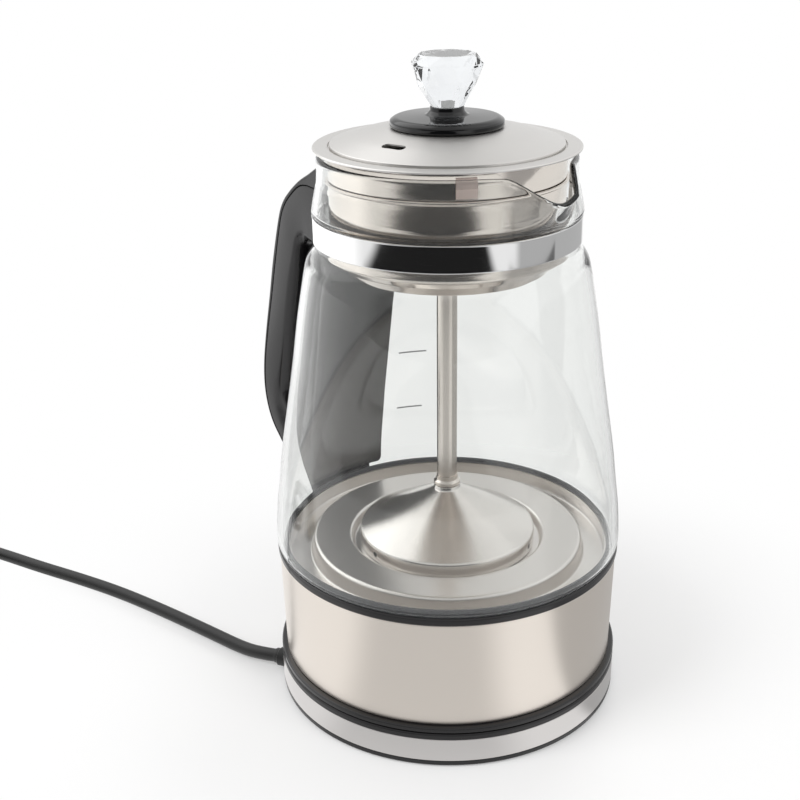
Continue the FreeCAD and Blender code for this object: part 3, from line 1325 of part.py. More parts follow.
# Basket, riser tube and steam cone

cone_neck_inner = s.tube_radius + s.fixed_gap
cone_skirt_foot = s.plate_well_height + s.seat_gap


def steam_cone():
    """Cone of thin sheet that stands in the well, with a skirt and three water holes."""
    slant = (s.cone_top_height - s.cone_rim_height) / (s.cone_rim_radius - s.cone_top_radius)
    wall = s.cone_wall
    inner_rim_top = s.cone_rim_height - wall * 0.6
    blank = turned("cone_blank", [
        (s.cone_rim_radius - wall, cone_skirt_foot), (s.cone_rim_radius, cone_skirt_foot),
        (s.cone_rim_radius, s.cone_rim_height, 1.4), (s.cone_top_radius, s.cone_top_height, 1.2),
        (s.cone_top_radius - 0.4, s.cone_top_height + s.cone_neck_height),
        (cone_neck_inner, s.cone_top_height + s.cone_neck_height),
        (cone_neck_inner, s.cone_top_height - 0.8 + (s.cone_top_radius - cone_neck_inner) * slant),
        (s.cone_rim_radius - wall, inner_rim_top, 0.7)])
    holes = []
    height = (cone_skirt_foot + s.cone_rim_height) / 2 - 0.4
    for index in range(THREE):
        angle = float(s.cone_hole_angle) + 360.0 / THREE * index
        hole = doc.addObject("Part::Cylinder", "water_hole")
        bind(hole, "Radius", s.cone_hole_radius)
        bind(hole, "Height", 8)
        turn = FreeCAD.Rotation(UP, angle) * FreeCAD.Rotation(Vector(0, 1, 0), 90)
        hole.Placement = FreeCAD.Placement(Vector(0, 0, 0), turn)
        start = s.cone_rim_radius - 4
        spot = math.radians(angle)
        place(hole, start * math.cos(spot), start * math.sin(spot), height)
        holes.append(hole)
    keep("steam_cone", cut("cone_cut", blank, fused("water_holes", holes)))


def riser_tube():
    """Riser tube with its ferrule, the nut under the basket and the spray cap on top."""
    foot = s.cone_top_height - 0.6
    inner = s.tube_radius - s.tube_wall
    keep("riser_tube", turned("tube_body", [
        (inner, foot), (s.tube_radius, foot), (s.tube_radius, s.tube_top), (inner, s.tube_top)]))
    ferrule_foot = s.cone_top_height + s.cone_neck_height + s.fixed_gap
    ferrule_top = ferrule_foot + s.ferrule_height
    bore = s.tube_radius + 0.05
    keep("tube_ferrule", turned("ferrule_body", [
        (bore, ferrule_foot), (s.ferrule_radius, ferrule_foot, 0.5),
        (s.ferrule_radius, ferrule_foot + 1.6, 0.4), (s.tube_radius + 0.5, ferrule_foot + 2.6),
        (s.tube_radius + 0.5, ferrule_top), (bore, ferrule_top)]))
    nut_top = s.basket_floor_height - s.fixed_gap
    nut_foot = nut_top - s.tube_nut_height
    keep("tube_nut", turned("nut_body", [
        (bore, nut_foot), (s.tube_nut_radius - 0.6, nut_foot), (s.tube_nut_radius - 0.6, nut_foot + 1.8),
        (s.tube_nut_radius - 1.0, nut_foot + 2.1), (s.tube_nut_radius - 1.0, nut_foot + 2.9),
        (s.tube_nut_radius, nut_foot + 3.2), (s.tube_nut_radius, nut_top), (bore, nut_top)]))
    cap_top = s.tube_top + 1.6
    cap_foot = cap_top - s.spray_cap_height
    cap_inner = s.tube_radius + 1.6
    blank = turned("cap_blank", [
        (bore, cap_foot), (s.spray_cap_radius, cap_foot), (s.spray_cap_radius, cap_top, 1.2),
        (0, cap_top), (0, s.tube_top + 0.6), (cap_inner, s.tube_top + 0.6),
        (cap_inner, cap_foot + 0.8), (bore, cap_foot + 0.8)])
    holes = []
    for index in range(6):
        angle = 60.0 * index
        hole = doc.addObject("Part::Cylinder", "spray_hole")
        bind(hole, "Radius", s.spray_hole_radius)
        bind(hole, "Height", 6)
        turn = FreeCAD.Rotation(UP, angle) * FreeCAD.Rotation(Vector(0, 1, 0), 90)
        hole.Placement = FreeCAD.Placement(Vector(0, 0, 0), turn)
        spot = math.radians(angle)
        start = s.tube_radius + 0.8
        place(hole, start * math.cos(spot), start * math.sin(spot), s.tube_top - 0.9)
        holes.append(hole)
    keep("spray_cap", cut("cap_cut", blank, fused("spray_holes", holes)))


def basket():
    """Tea basket with a stepped foot, a ledge at the top and drain holes in its floor."""
    wall = s.basket_wall
    hole = s.tube_radius + s.fixed_gap
    blank = turned("basket_blank", [
        (hole, s.basket_floor_height), (s.basket_floor_radius, s.basket_floor_height, 1.6),
        (s.basket_step_radius, s.basket_step_height, 1.2),
        (s.basket_radius, s.basket_wall_foot, 2.6), (s.basket_radius, s.basket_top - 1.0),
        (s.basket_ledge_radius, s.basket_top - 1.0, 0.3), (s.basket_ledge_radius, s.basket_top, 0.3),
        (s.basket_radius - wall, s.basket_top),
        (s.basket_radius - wall, s.basket_wall_foot + wall * 0.6, 1.8),
        (s.basket_step_radius - wall, s.basket_step_height + wall * 0.8, 0.6),
        (s.basket_floor_radius - wall, s.basket_floor_height + wall, 0.6),
        (hole, s.basket_floor_height + wall)])
    holes = []
    for circle, count in ((s.drain_circle_inner, 10), (s.drain_circle_outer, 18)):
        for x, y in ring_spots(circle, count):
            holes.append(cylinder("drain_hole", s.basket_hole_radius, 4, x, y,
                                  s.basket_floor_height - 1))
    keep("tea_basket", cut("basket_cut", blank, fused("drain_holes", holes)))


# Lid

lid_underside = s.lid_top - s.lid_wall


def lid_dome():
    """Domed lid of thin sheet with a groove, a turned-down edge and the steam vent."""
    wall = s.lid_wall
    groove_floor = s.lid_flange_top - s.lid_groove_depth
    groove_out = s.lid_dome_radius + s.lid_groove_width
    edge_foot = s.lid_flange_top - s.lid_edge_drop
    blank = turned("dome_blank", [
        (s.knob_screw_shank + s.fixed_gap, s.lid_top), (s.lid_flat_radius, s.lid_top, 8.0),
        (s.lid_dome_radius, s.lid_dome_edge, 0.3), (s.lid_dome_radius, groove_floor),
        (groove_out, groove_floor), (groove_out, s.lid_flange_top, 0.2),
        (s.lid_flange_radius, s.lid_flange_top - 0.3, 1.0), (s.lid_flange_radius, edge_foot),
        (s.lid_flange_radius - wall, edge_foot),
        (s.lid_flange_radius - wall, s.lid_flange_top - 0.3 - wall, 0.4),
        (groove_out + wall, groove_floor - wall * 0.5),
        (groove_out, groove_floor - wall), (s.lid_dome_radius - wall, groove_floor - wall),
        (s.lid_dome_radius - wall, s.lid_dome_edge - wall, 0.4),
        (s.lid_flat_radius, lid_underside, 8.0), (s.knob_screw_shank + s.fixed_gap, lid_underside)])
    half = s.vent_width / 2
    straight = s.vent_length / 2 - half
    slab = doc.addObject("Part::Box", "vent_slab")
    bind(slab, "Length", 2 * straight)
    bind(slab, "Width", s.vent_width)
    bind(slab, "Height", 12)
    place(slab, -straight, -half, 0)
    ends = [cylinder("vent_end", half, 12, straight * sign, 0, 0) for sign in (-1, 1)]
    vent = fused("vent_tool", [slab] + ends)
    vent.Placement = FreeCAD.Placement(Vector(0, 0, 0), FreeCAD.Rotation(UP, VENT_HEADING))
    place(vent, s.vent_side, -s.vent_distance, s.lid_dome_edge - 5)
    keep("lid_dome", cut("dome_cut", blank, vent))


VENT_HEADING = 12.0
CLIP_ANGLE = -34.5


def lid_inner_parts():
    """Skirt, inner sheet with steam holes, and three spring clips round the skirt."""
    groove_floor = s.lid_flange_top - s.lid_groove_depth
    skirt_top = groove_floor - s.lid_wall - s.fixed_gap
    skirt_foot = s.basket_top + s.seat_gap
    skirt_inner_radius = s.lid_skirt_radius - s.lid_skirt_wall
    keep("lid_skirt", turned("skirt_body", [
        (skirt_inner_radius, skirt_foot), (s.lid_skirt_radius, skirt_foot),
        (s.lid_skirt_radius, skirt_top), (skirt_inner_radius, skirt_top)]))
    liner_edge = skirt_inner_radius - s.fixed_gap
    blank = turned("liner_blank", [
        (0, s.liner_height), (liner_edge, s.liner_height),
        (liner_edge, s.liner_height + 2.4), (liner_edge - s.liner_wall, s.liner_height + 2.4),
        (liner_edge - s.liner_wall, s.liner_height + s.liner_wall),
        (0, s.liner_height + s.liner_wall)])
    holes = [cylinder("liner_hole", s.liner_hole_radius, 4, x, y, s.liner_height - 1)
             for x, y in ring_spots(s.liner_hole_circle, 8)]
    keep("lid_liner", cut("liner_cut", blank, fused("liner_holes", holes)))
    clip_inner = s.lid_skirt_radius + s.fixed_gap / 3
    clip_outer = clip_inner + s.clip_wall
    middle = (s.clip_foot + s.clip_head) / 2
    clips = []
    for index in range(THREE):
        heading = CLIP_ANGLE + 360.0 / THREE * index - float(s.clip_width_angle) / 2
        clips.append(turned("clip_%d" % index, [
            (clip_inner, s.clip_foot), (clip_outer, s.clip_foot),
            (clip_outer + s.clip_bow, middle), (clip_outer, s.clip_head),
            (clip_inner, s.clip_head), (clip_inner + s.clip_bow, middle)],
            s.clip_width_angle, heading))
    keep("lid_clips", group("clip_set", clips))


def knob():
    """Black collar with its neck, the faceted crystal knob and the screw through the lid."""
    shank_gap = s.knob_screw_shank + s.fixed_gap
    collar_foot = s.lid_top + s.fixed_gap
    keep("knob_collar", turned("collar_body", [
        (shank_gap, collar_foot), (s.collar_radius - 0.8, collar_foot),
        (s.collar_radius, collar_foot + 0.8, 0.5), (s.collar_radius, s.collar_top, s.collar_round),
        (s.collar_neck_radius + 0.6, s.collar_top + 0.5, 1.2),
        (s.collar_neck_radius, s.collar_neck_top), (shank_gap, s.collar_neck_top)]))
    head_top = lid_underside - s.fixed_gap
    head = cylinder("knob_screw_head", s.knob_screw_head, s.knob_screw_head_height,
                    0, 0, head_top - s.knob_screw_head_height)
    reach = s.collar_neck_top + s.knob_bore_depth - 0.4
    shank = cylinder("knob_screw_shank", s.knob_screw_shank, reach - head_top + 0.5,
                     0, 0, head_top - 0.5)
    keep("knob_screw", fused("knob_screw_solid", [head, shank]))
    crystal = doc.addObject("Part::Feature", "crystal")
    crystal.Shape = crystal_solid()
    crystal.Placement = FreeCAD.Placement(
        Vector(0, 0, float(s.collar_neck_top + s.fixed_gap)), FreeCAD.Rotation())
    keep("crystal_knob", crystal)


def facet_ring(radius, height, count, shift):
    """Corners of one ring of the crystal."""
    ring = []
    for index in range(count):
        angle = 2 * math.pi * (index + shift) / count
        ring.append(Vector(radius * math.cos(angle), radius * math.sin(angle), height))
    return ring


def crystal_solid():
    """Faceted crystal: rings of corners joined by triangles, with a bore for the screw."""
    count = 10
    rings = [
        facet_ring(float(s.knob_foot_radius), 0.0, count, 0.0),
        facet_ring(float(s.knob_waist_radius), float(s.knob_waist_rise), count, 0.5),
        facet_ring(float(s.knob_girdle_radius), float(s.knob_girdle_rise), count, 0.0),
        facet_ring(float(s.knob_table_radius), float(s.knob_height), count, 0.5)]
    faces = [flat_face(rings[0][::-1]), flat_face(rings[-1])]
    for level, (lower, upper) in enumerate(zip(rings, rings[1:])):
        back = 0 if level % 2 == 0 else 1
        for index in range(count):
            following = (index + 1) % count
            if back == 0:
                faces.append(flat_face([lower[index], lower[following], upper[index]]))
                faces.append(flat_face([lower[following], upper[following], upper[index]]))
            else:
                faces.append(flat_face([lower[index], lower[following], upper[following]]))
                faces.append(flat_face([lower[index], upper[following], upper[index]]))
    solid = Part.makeSolid(Part.makeShell(faces))
    bore = Part.makeCylinder(float(s.knob_screw_shank) + 0.1, float(s.knob_bore_depth) + 1,
                             Vector(0, 0, -1), UP)
    return solid.cut(bore)


def flat_face(corners):
    """A flat face through a closed loop of corners."""
    return Part.Face(Part.makePolygon(corners + [corners[0]]))


def main():
    """Build every sub-part, check the document and write one file per sub-part."""
    base_cover()
    base_feet()
    base_deck()
    base_screws()
    steel_band()
    base_connector()
    strain_relief()
    mains_cord()
    kettle_cover()
    kettle_socket()
    socket_retainer()
    steel_sleeve()
    sleeve_ring()
    heater_plate()
    heating_element()
    glass_seal()
    glass_vessel()
    neck_band()
    handle_shells()
    switch()
    steam_cone()
    riser_tube()
    basket()
    lid_dome()
    lid_inner_parts()
    knob()
    doc.recompute()
    check_document()
    write_subparts()


def check_document():
    """Stop if any object failed or any sub-part has no valid solid."""
    for item in doc.Objects:
        if "Invalid" in item.State or "Error" in item.State:
            raise RuntimeError("%s (%s) failed: %s" % (item.Name, item.Label, item.State))
    for label, item in subparts.items():
        shape = item.Shape
        if shape.isNull() or not shape.isValid() or not shape.Solids:
            raise RuntimeError(label + " has no valid solid")


def write_subparts():
    """Write each sub-part to its own file."""
    os.makedirs("parts", exist_ok=True)
    for label, item in subparts.items():
        item.Shape.exportStep("parts/%s.step" % label)
        print("%-22s solids %d volume %.1f" % (label, len(item.Shape.Solids), item.Shape.Volume))


main()
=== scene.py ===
"""Automatic tea maker: the visual model, laid out as an add-on with one operator per group of pieces.

Every length in a table of points is in millimetres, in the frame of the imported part: origin on the
turning axis at the table, +Z up, +X towards the pouring lip, -X towards the handle.
"""

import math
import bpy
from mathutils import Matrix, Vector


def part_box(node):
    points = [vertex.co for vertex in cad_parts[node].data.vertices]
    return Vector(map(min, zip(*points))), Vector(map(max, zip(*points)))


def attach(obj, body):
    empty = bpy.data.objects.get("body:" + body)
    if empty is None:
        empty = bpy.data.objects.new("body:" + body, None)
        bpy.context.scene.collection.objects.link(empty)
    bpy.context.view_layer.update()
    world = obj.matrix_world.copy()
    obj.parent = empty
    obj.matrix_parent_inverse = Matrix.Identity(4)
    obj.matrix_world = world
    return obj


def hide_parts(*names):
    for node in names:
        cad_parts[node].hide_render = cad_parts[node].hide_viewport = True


bl_info = {
    "name": "Automatic tea maker",
    "version": (1, 0, 0),
    "blender": (4, 5, 0),
    "location": "3D Viewport > Sidebar > Tea maker",
    "description": "Builds a glass tea maker with basket, handle, power base and cord",
    "category": "Object",
}

import bmesh
import bpy
from mathutils import Matrix, Vector

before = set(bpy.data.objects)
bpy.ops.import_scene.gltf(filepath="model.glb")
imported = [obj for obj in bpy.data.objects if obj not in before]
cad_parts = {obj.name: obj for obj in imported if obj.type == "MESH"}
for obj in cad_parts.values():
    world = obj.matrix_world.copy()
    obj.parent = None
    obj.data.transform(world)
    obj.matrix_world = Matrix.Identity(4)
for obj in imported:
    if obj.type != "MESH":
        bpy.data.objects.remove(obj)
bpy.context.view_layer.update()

MM = 0.001
FULL_TURN = 2 * math.pi
UP = Vector((0.0, 0.0, 1.0))
TINY = 1e-6
SAME_SPOT = 1e-4
CAMERA_SIDE = 47.0


def linear(code):
    """Linear colour with alpha from an sRGB hex code such as #c5bcb0."""
    channels = []
    for start in (1, 3, 5):
        value = int(code[start:start + 2], 16) / 255
        channels.append(value / 12.92 if value <= 0.04045 else ((value + 0.055) / 1.055) ** 2.4)
    return (*channels, 1.0)


def node_top(name):
    """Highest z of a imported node, in millimetres."""
    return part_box(name)[1].z / MM


def node_reach(name):
    """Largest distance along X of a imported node, in millimetres."""
    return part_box(name)[1].x / MM


def colour_setting(label, what, code):
    """A colour that a user can change."""
    return bpy.props.FloatVectorProperty(
        name=label, description=what, subtype="COLOR", size=4, min=0.0, max=1.0, default=linear(code))


def size_setting(label, what, value):
    """A size in millimetres that a user can change."""
    return bpy.props.FloatProperty(name=label, description=what, default=value, min=0.0)


class TeaMakerColours(bpy.types.PropertyGroup):
    """Colours of the finishes."""

    steel: colour_setting("Brushed steel", "Sleeve round the foot of the kettle", "#e9e1d8")
    band_steel: colour_setting("Base band steel", "Band round the power base", "#d6d3d1")
    lid_steel: colour_setting("Lid steel", "Satin sheet of the lid", "#dcdad7")
    sheet_steel: colour_setting("Sheet steel", "Basket, skirt and tube", "#e3dcd5")
    plate_steel: colour_setting("Plate steel", "Heater plate and steam cone", "#e6e2de")
    plastic: colour_setting("Black plastic", "Handle, rings and base deck", "#151415")
    gloss: colour_setting("Gloss black", "Collar under the knob", "#0c0c0d")
    cord: colour_setting("Cord", "Jacket of the mains cord", "#121212")
    glass: colour_setting("Glass", "Tint of the vessel", "#f7f8f7")
    knob: colour_setting("Knob", "Tint of the faceted knob", "#f6f8fa")
    seal: colour_setting("Seal", "Silicone between glass and ring", "#4a4b4d")
    contact: colour_setting("Contacts", "Plated contacts and plug pins", "#cdb98a")
    mark: colour_setting("Marks", "Level marks on the glass", "#8e9192")
    floor: colour_setting("Floor", "Table under the tea maker", "#f4f4f4")


class TeaMakerSizes(bpy.types.PropertyGroup):
    """Sizes that shape the drawn pieces, in millimetres."""

    glass_wall: size_setting("Glass wall", "Thickness of the vessel", 2.5)
    lip_reach: size_setting("Lip reach", "How far the pouring lip reaches from the axis", 67.2)
    lip_height: size_setting("Lip height", "Height of the lip's tip", 238.2)
    lip_spread: size_setting("Lip spread", "Half the angle of the lip at the rim, in degrees", 20.0)
    handle_half_width: size_setting("Handle half width", "Half the width of the grip", 18.0)
    plate_half_width: size_setting("Plate half width", "Half the width of the plate on the glass", 23.0)
    cord_diameter: size_setting("Cord diameter", "Diameter of the mains cord", 6.4)
    knob_facets: bpy.props.IntProperty(
        name="Knob facets", description="Facets round the knob", default=10, min=6)


# Shading


def add_node(tree, kind, inputs=None, links=None, **settings):
    """Add one node with its settings, its values and its links."""
    made = tree.nodes.new(kind)
    for key, value in settings.items():
        setattr(made, key, value)
    for key, value in (inputs or {}).items():
        made.inputs[key].default_value = value
    for key, source in (links or {}).items():
        tree.links.new(source, made.inputs[key])
    return made


def new_material(name, values):
    """A material with a principled surface and these values on it."""
    material = bpy.data.materials.new(name)
    material.use_nodes = True
    tree = material.node_tree
    tree.nodes.clear()
    shader = add_node(tree, "ShaderNodeBsdfPrincipled", inputs=values)
    add_node(tree, "ShaderNodeOutputMaterial", links={"Surface": shader.outputs["BSDF"]})
    return material, tree, shader


def blended(tree, share, shader, other):
    """Show another shader in place of the principled one, by a share."""
    mix = add_node(tree, "ShaderNodeMixShader",
                   links={0: share, 1: shader.outputs["BSDF"], 2: other.outputs[0]})
    tree.links.new(mix.outputs["Shader"], tree.get_output_node("ALL").inputs["Surface"])


def clouds(tree, size_mm):
    """A cloudy pattern in the material, with clouds about this far apart."""
    place = add_node(tree, "ShaderNodeTexCoord")
    return add_node(tree, "ShaderNodeTexNoise", inputs={"Scale": 1 / (size_mm * MM), "Detail": 2.0},
                    links={"Vector": place.outputs["Object"]}).outputs["Fac"]


def bumped(tree, shader, height, distance_mm, strength):
    """Let a height pattern bend the light on the surface."""
    bump = add_node(tree, "ShaderNodeBump", inputs={"Strength": strength, "Distance": distance_mm * MM},
                    links={"Height": height})
    tree.links.new(bump.outputs["Normal"], shader.inputs["Normal"])


def uneven(tree, shader, pattern, low, high):
    """Let a pattern vary the roughness between two values."""
    shine = ramp(tree, pattern, 0.0, 1.0, low, high, "LINEAR")
    tree.links.new(shine, shader.inputs["Roughness"])


def brushed_stainless(name, colour, roughness, way):
    """Stainless steel, brushed with abrasive belt: streaks run round the axis and spread highlights."""
    material, tree, shader = new_material(name, {
        "Base Color": colour, "Metallic": 1.0, "Anisotropic": 0.45, "Anisotropic Rotation": 0.25})
    place = add_node(tree, "ShaderNodeTexCoord")
    split = add_node(tree, "ShaderNodeSeparateXYZ", links={"Vector": place.outputs["Object"]})
    round_way = joined(tree, "ARCTAN2", split.outputs["Y"], split.outputs["X"])
    flat = add_node(tree, "ShaderNodeCombineXYZ",
                    links={"X": split.outputs["X"], "Y": split.outputs["Y"]})
    radius = add_node(tree, "ShaderNodeVectorMath", operation="LENGTH",
                      links={0: flat.outputs["Vector"]})
    across = split.outputs["Z"] if way == "height" else radius.outputs["Value"]
    # Real scratches are 0.05 mm apart, too fine to show; they are drawn 1.2 mm apart and 40 mm long.
    spacing = 1.2 * MM
    lines = joined(tree, "MULTIPLY", across, 1 / spacing / 4)
    along = joined(tree, "MULTIPLY", round_way, 1.6)
    spot = add_node(tree, "ShaderNodeCombineXYZ", links={"X": lines, "Y": along})
    scratches = add_node(tree, "ShaderNodeTexNoise", inputs={"Scale": 4.0, "Detail": 1.0},
                         links={"Vector": spot.outputs["Vector"]}).outputs["Fac"]
    uneven(tree, shader, scratches, roughness - 0.03, roughness + 0.03)
    tangent = add_node(tree, "ShaderNodeTangent", direction_type="RADIAL", axis="Z")
    tree.links.new(tangent.outputs["Tangent"], shader.inputs["Tangent"])
    bumped(tree, shader, scratches, 0.008, 0.04)
    return material


def drawn_stainless(name, colour, roughness):
    """Stainless sheet, deep drawn: smooth with a faint unevenness left by the die."""
    material, tree, shader = new_material(name, {"Base Color": colour, "Metallic": 1.0})
    # The die leaves waves about 9 mm across.
    waves = clouds(tree, 9.0)
    uneven(tree, shader, waves, roughness - 0.03, roughness + 0.04)
    bumped(tree, shader, waves, 0.02, 0.04)
    return material


def polished_chrome(name):
    """Stainless strip with a mirror polish: it shows the room with hard edges."""
    material, tree, shader = new_material(name, {"Base Color": linear("#e6e6e6"), "Metallic": 1.0})
    haze = clouds(tree, 20.0)
    uneven(tree, shader, haze, 0.03, 0.08)
    bumped(tree, shader, haze, 0.1, 0.05)
    return material


def moulded_plastic(name, colour, roughness, grain_mm, depth_mm):
    """Thermoplastic from a spark-eroded mould: a fine grain breaks up the highlight."""
    material, tree, shader = new_material(name, {"Base Color": colour, "IOR": 1.49})
    grain = clouds(tree, grain_mm)
    uneven(tree, shader, grain, roughness - 0.04, roughness + 0.06)
    bumped(tree, shader, grain, depth_mm, 0.25)
    return material


def clear_body(name, colour, ior, roughness):
    """Clear body that lets shadow and diffuse light through, so that what is inside stays lit."""
    material, tree, shader = new_material(name, {
        "Base Color": colour, "Transmission Weight": 1.0, "Roughness": roughness, "IOR": ior})
    light = add_node(tree, "ShaderNodeLightPath")
    # Light that wanders on inside the wall is let out, as the photograph's edges are pale.
    last_depth = 6.5
    deep = joined(tree, "GREATER_THAN", light.outputs["Ray Depth"], last_depth)
    pass_on = joined(tree, "MAXIMUM", light.outputs["Is Shadow Ray"], light.outputs["Is Diffuse Ray"],
                     deep)
    thin = add_node(tree, "ShaderNodeBsdfTransparent", inputs={"Color": (0.96, 0.96, 0.96, 1.0)})
    blended(tree, pass_on, shader, thin)
    return material


def joined(tree, operation, *values):
    """Numbers or sockets through math nodes, taken in order."""
    total = values[0]
    for value in values[1:]:
        node = add_node(tree, "ShaderNodeMath", operation=operation)
        for index, part in enumerate((total, value)):
            if isinstance(part, (int, float)):
                node.inputs[index].default_value = part
            else:
                tree.links.new(part, node.inputs[index])
        total = node.outputs[0]
    return total


def ramp(tree, value, low, high, first, last, way="SMOOTHSTEP"):
    """Change from one value to another between two limits."""
    return add_node(tree, "ShaderNodeMapRange", interpolation_type=way,
                    inputs={"From Min": low, "From Max": high, "To Min": first, "To Max": last},
                    links={"Value": value}).outputs["Result"]


def sector(tree, angle, middle, half, soft):
    """One inside a sector of azimuths in degrees, zero outside it."""
    off = joined(tree, "SUBTRACT", angle, math.radians(middle))
    off = add_node(tree, "ShaderNodeMath", operation="ABSOLUTE", links={0: off}).outputs[0]
    return ramp(tree, off, math.radians(half - soft), math.radians(half + soft), 1.0, 0.0)


def camera_side(tree, direction):
    """A direction turned so that X runs to the photograph's camera and Y to the picture's right."""
    turned = add_node(tree, "ShaderNodeVectorRotate", rotation_type="Z_AXIS",
                      inputs={"Angle": math.radians(CAMERA_SIDE)}, links={"Vector": direction})
    turned = turned.outputs["Vector"]
    split = add_node(tree, "ShaderNodeSeparateXYZ", links={"Vector": turned})
    angle = joined(tree, "ARCTAN2", split.outputs["Y"], split.outputs["X"])
    return turned, split, angle


def mirrored(tree, path):
    """One for rays that a surface mirrored, but not for those that only wandered in a glass wall."""
    once = 0.5
    one_wall = 3.5
    bounced = joined(tree, "GREATER_THAN", path.outputs["Glossy Depth"], once)
    crossed = joined(tree, "GREATER_THAN", path.outputs["Transmission Depth"], once)
    through = joined(tree, "LESS_THAN", path.outputs["Transmission Depth"], one_wall)
    return joined(tree, "SUBTRACT", bounced, joined(tree, "MULTIPLY", bounced, crossed, through))


def finishes():
    """All materials of the tea maker by the names used below."""
    tints = bpy.context.scene.tea_maker_colours
    made = {
        "sleeve": brushed_stainless("brushed_stainless_sleeve", tints.steel, 0.30, "height"),
        "base_band": brushed_stainless("brushed_stainless_band", tints.band_steel, 0.30, "height"),
        "basket": brushed_stainless("spun_stainless_basket", tints.sheet_steel, 0.13, "height"),
        "lid": brushed_stainless("satin_stainless_lid", tints.lid_steel, 0.36, "radius"),
        "sheet": drawn_stainless("drawn_stainless_sheet", tints.sheet_steel, 0.20),
        "plate": brushed_stainless("turned_stainless_plate", tints.plate_steel, 0.30, "radius"),
        "cone": brushed_stainless("turned_stainless_cone", tints.plate_steel, 0.24, "radius"),
        "chrome": polished_chrome("polished_stainless_strip"),
        "plastic": moulded_plastic("polished_mould_abs_black", tints.plastic, 0.15, 3.0, 0.01),
        "deck": moulded_plastic("moulded_polypropylene_base", tints.plastic, 0.34, 0.6, 0.01),
        "gloss": moulded_plastic("polished_phenolic_collar", tints.gloss, 0.06, 6.0, 0.02),
        "cord": moulded_plastic("extruded_pvc_cord", tints.cord, 0.42, 1.2, 0.05),
        "plug": moulded_plastic("moulded_pvc_plug", tints.cord, 0.48, 0.8, 0.06),
        "rubber": moulded_plastic("pressed_rubber_foot", tints.cord, 0.7, 0.5, 0.06),
        "seal": moulded_plastic("cast_silicone_seal", tints.seal, 0.4, 1.0, 0.03),
        "glass": clear_body("blown_borosilicate_glass", tints.glass, 1.47, 0.0),
        "knob": clear_body("polished_acrylic_knob", tints.knob, 1.49, 0.0),
        # The clips' steel is pale pink and lighter than the other steel. This is painted light, standing
        # in for the light the clips miss as they face the dark side. Only the roughness is the tumbled
        # finish.
        "clip": drawn_stainless("tumbled_stainless_clip_painted_light", linear("#fbe9e2"), 0.55),
        "contact": drawn_stainless("plated_brass_contact", tints.contact, 0.28),
        "screw": drawn_stainless("zinc_plated_screw", linear("#b4b4b2"), 0.32),
        "mark": moulded_plastic("printed_ceramic_mark", tints.mark, 0.5, 1.0, 0.01),
    }
    return made


def finish_named(key):
    """One finish, made once and kept in a table."""
    if not finish_named.table:
        finish_named.table.update(finishes())
    return finish_named.table[key]


finish_named.table = {}


# Mesh making


def round_axis(radius, angle, height):
    """A corner at an angle round the turning axis."""
    return radius * math.cos(angle), radius * math.sin(angle), height


def placed_mesh(name, corners, faces):
    """Put a plain mesh in the scene; its corners are in millimetres."""
    mesh = bpy.data.meshes.new(name)
    mesh.from_pydata([Vector(corner) * MM for corner in corners], [], faces)
    made = bpy.data.objects.new(name, mesh)
    bpy.context.scene.collection.objects.link(made)
    return made


def faces_between(columns, rows, closed=True):
    """Faces of a tube whose corners run row by row along each of its closed or open columns."""
    faces = []
    for column in range(columns if closed else columns - 1):
        here = column * rows
        there = (column + 1) % columns * rows
        for row in range(rows):
            follow = (row + 1) % rows
            faces.append([here + row, there + row, there + follow, here + follow])
    return faces


def mesh_object(name, corners, faces, finish, body, slot, nodes=(), sharp=35.0):
    """Put a mesh in the scene, shade it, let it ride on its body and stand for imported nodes."""
    made = placed_mesh(name, corners, faces)
    mesh = made.data
    mesh.validate()
    shape = bmesh.new()
    shape.from_mesh(mesh)
    bmesh.ops.remove_doubles(shape, verts=shape.verts, dist=0.0005 * MM)
    bmesh.ops.recalc_face_normals(shape, faces=shape.faces)
    shape.to_mesh(mesh)
    shape.free()
    mesh.materials.append(finish_named(finish))
    mesh.shade_smooth()
    mesh.set_sharp_from_angle(angle=math.radians(sharp))
    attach(made, body)
    if nodes:
        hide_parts(*nodes)
    return made


def rounded_line(points, steps=4):
    """Line through points; a third number rounds that corner by its radius."""
    line = []
    count = len(points)
    for index, point in enumerate(points):
        here = Vector(point[:2])
        radius = point[2] if len(point) > 2 else 0
        before = Vector(points[index - 1][:2])
        after = Vector(points[(index + 1) % count][:2])
        back = before - here
        ahead = after - here
        if radius <= 0 or min(back.length, ahead.length) < TINY:
            line.append(tuple(here))
            continue
        half = back.angle(ahead) / 2
        reach = min(radius / math.tan(half), 0.45 * back.length, 0.45 * ahead.length)
        size = reach * math.tan(half)
        centre = here + (back.normalized() + ahead.normalized()).normalized() * (size / math.sin(half))
        first = here + back.normalized() * reach - centre
        last = here + ahead.normalized() * reach - centre
        turn = first.angle_signed(last)
        for step in range(steps + 1):
            share = step / steps
            angle = -turn * share
            cosine = math.cos(angle)
            sine = math.sin(angle)
            line.append((centre.x + first.x * cosine - first.y * sine,
                         centre.y + first.x * sine + first.y * cosine))
    return line


def held(line, reach=0.25):
    """Add a point near each end of the long straights, so that smooth shading stays flat there."""
    result = []
    for first, second in zip(line, line[1:] + line[:1]):
        result.append(first)
        length = math.hypot(second[0] - first[0], second[1] - first[1])
        if length > 4 * reach:
            for share in (reach / length, 1 - reach / length):
                result.append((first[0] + (second[0] - first[0]) * share,
                               first[1] + (second[1] - first[1]) * share))
    return result


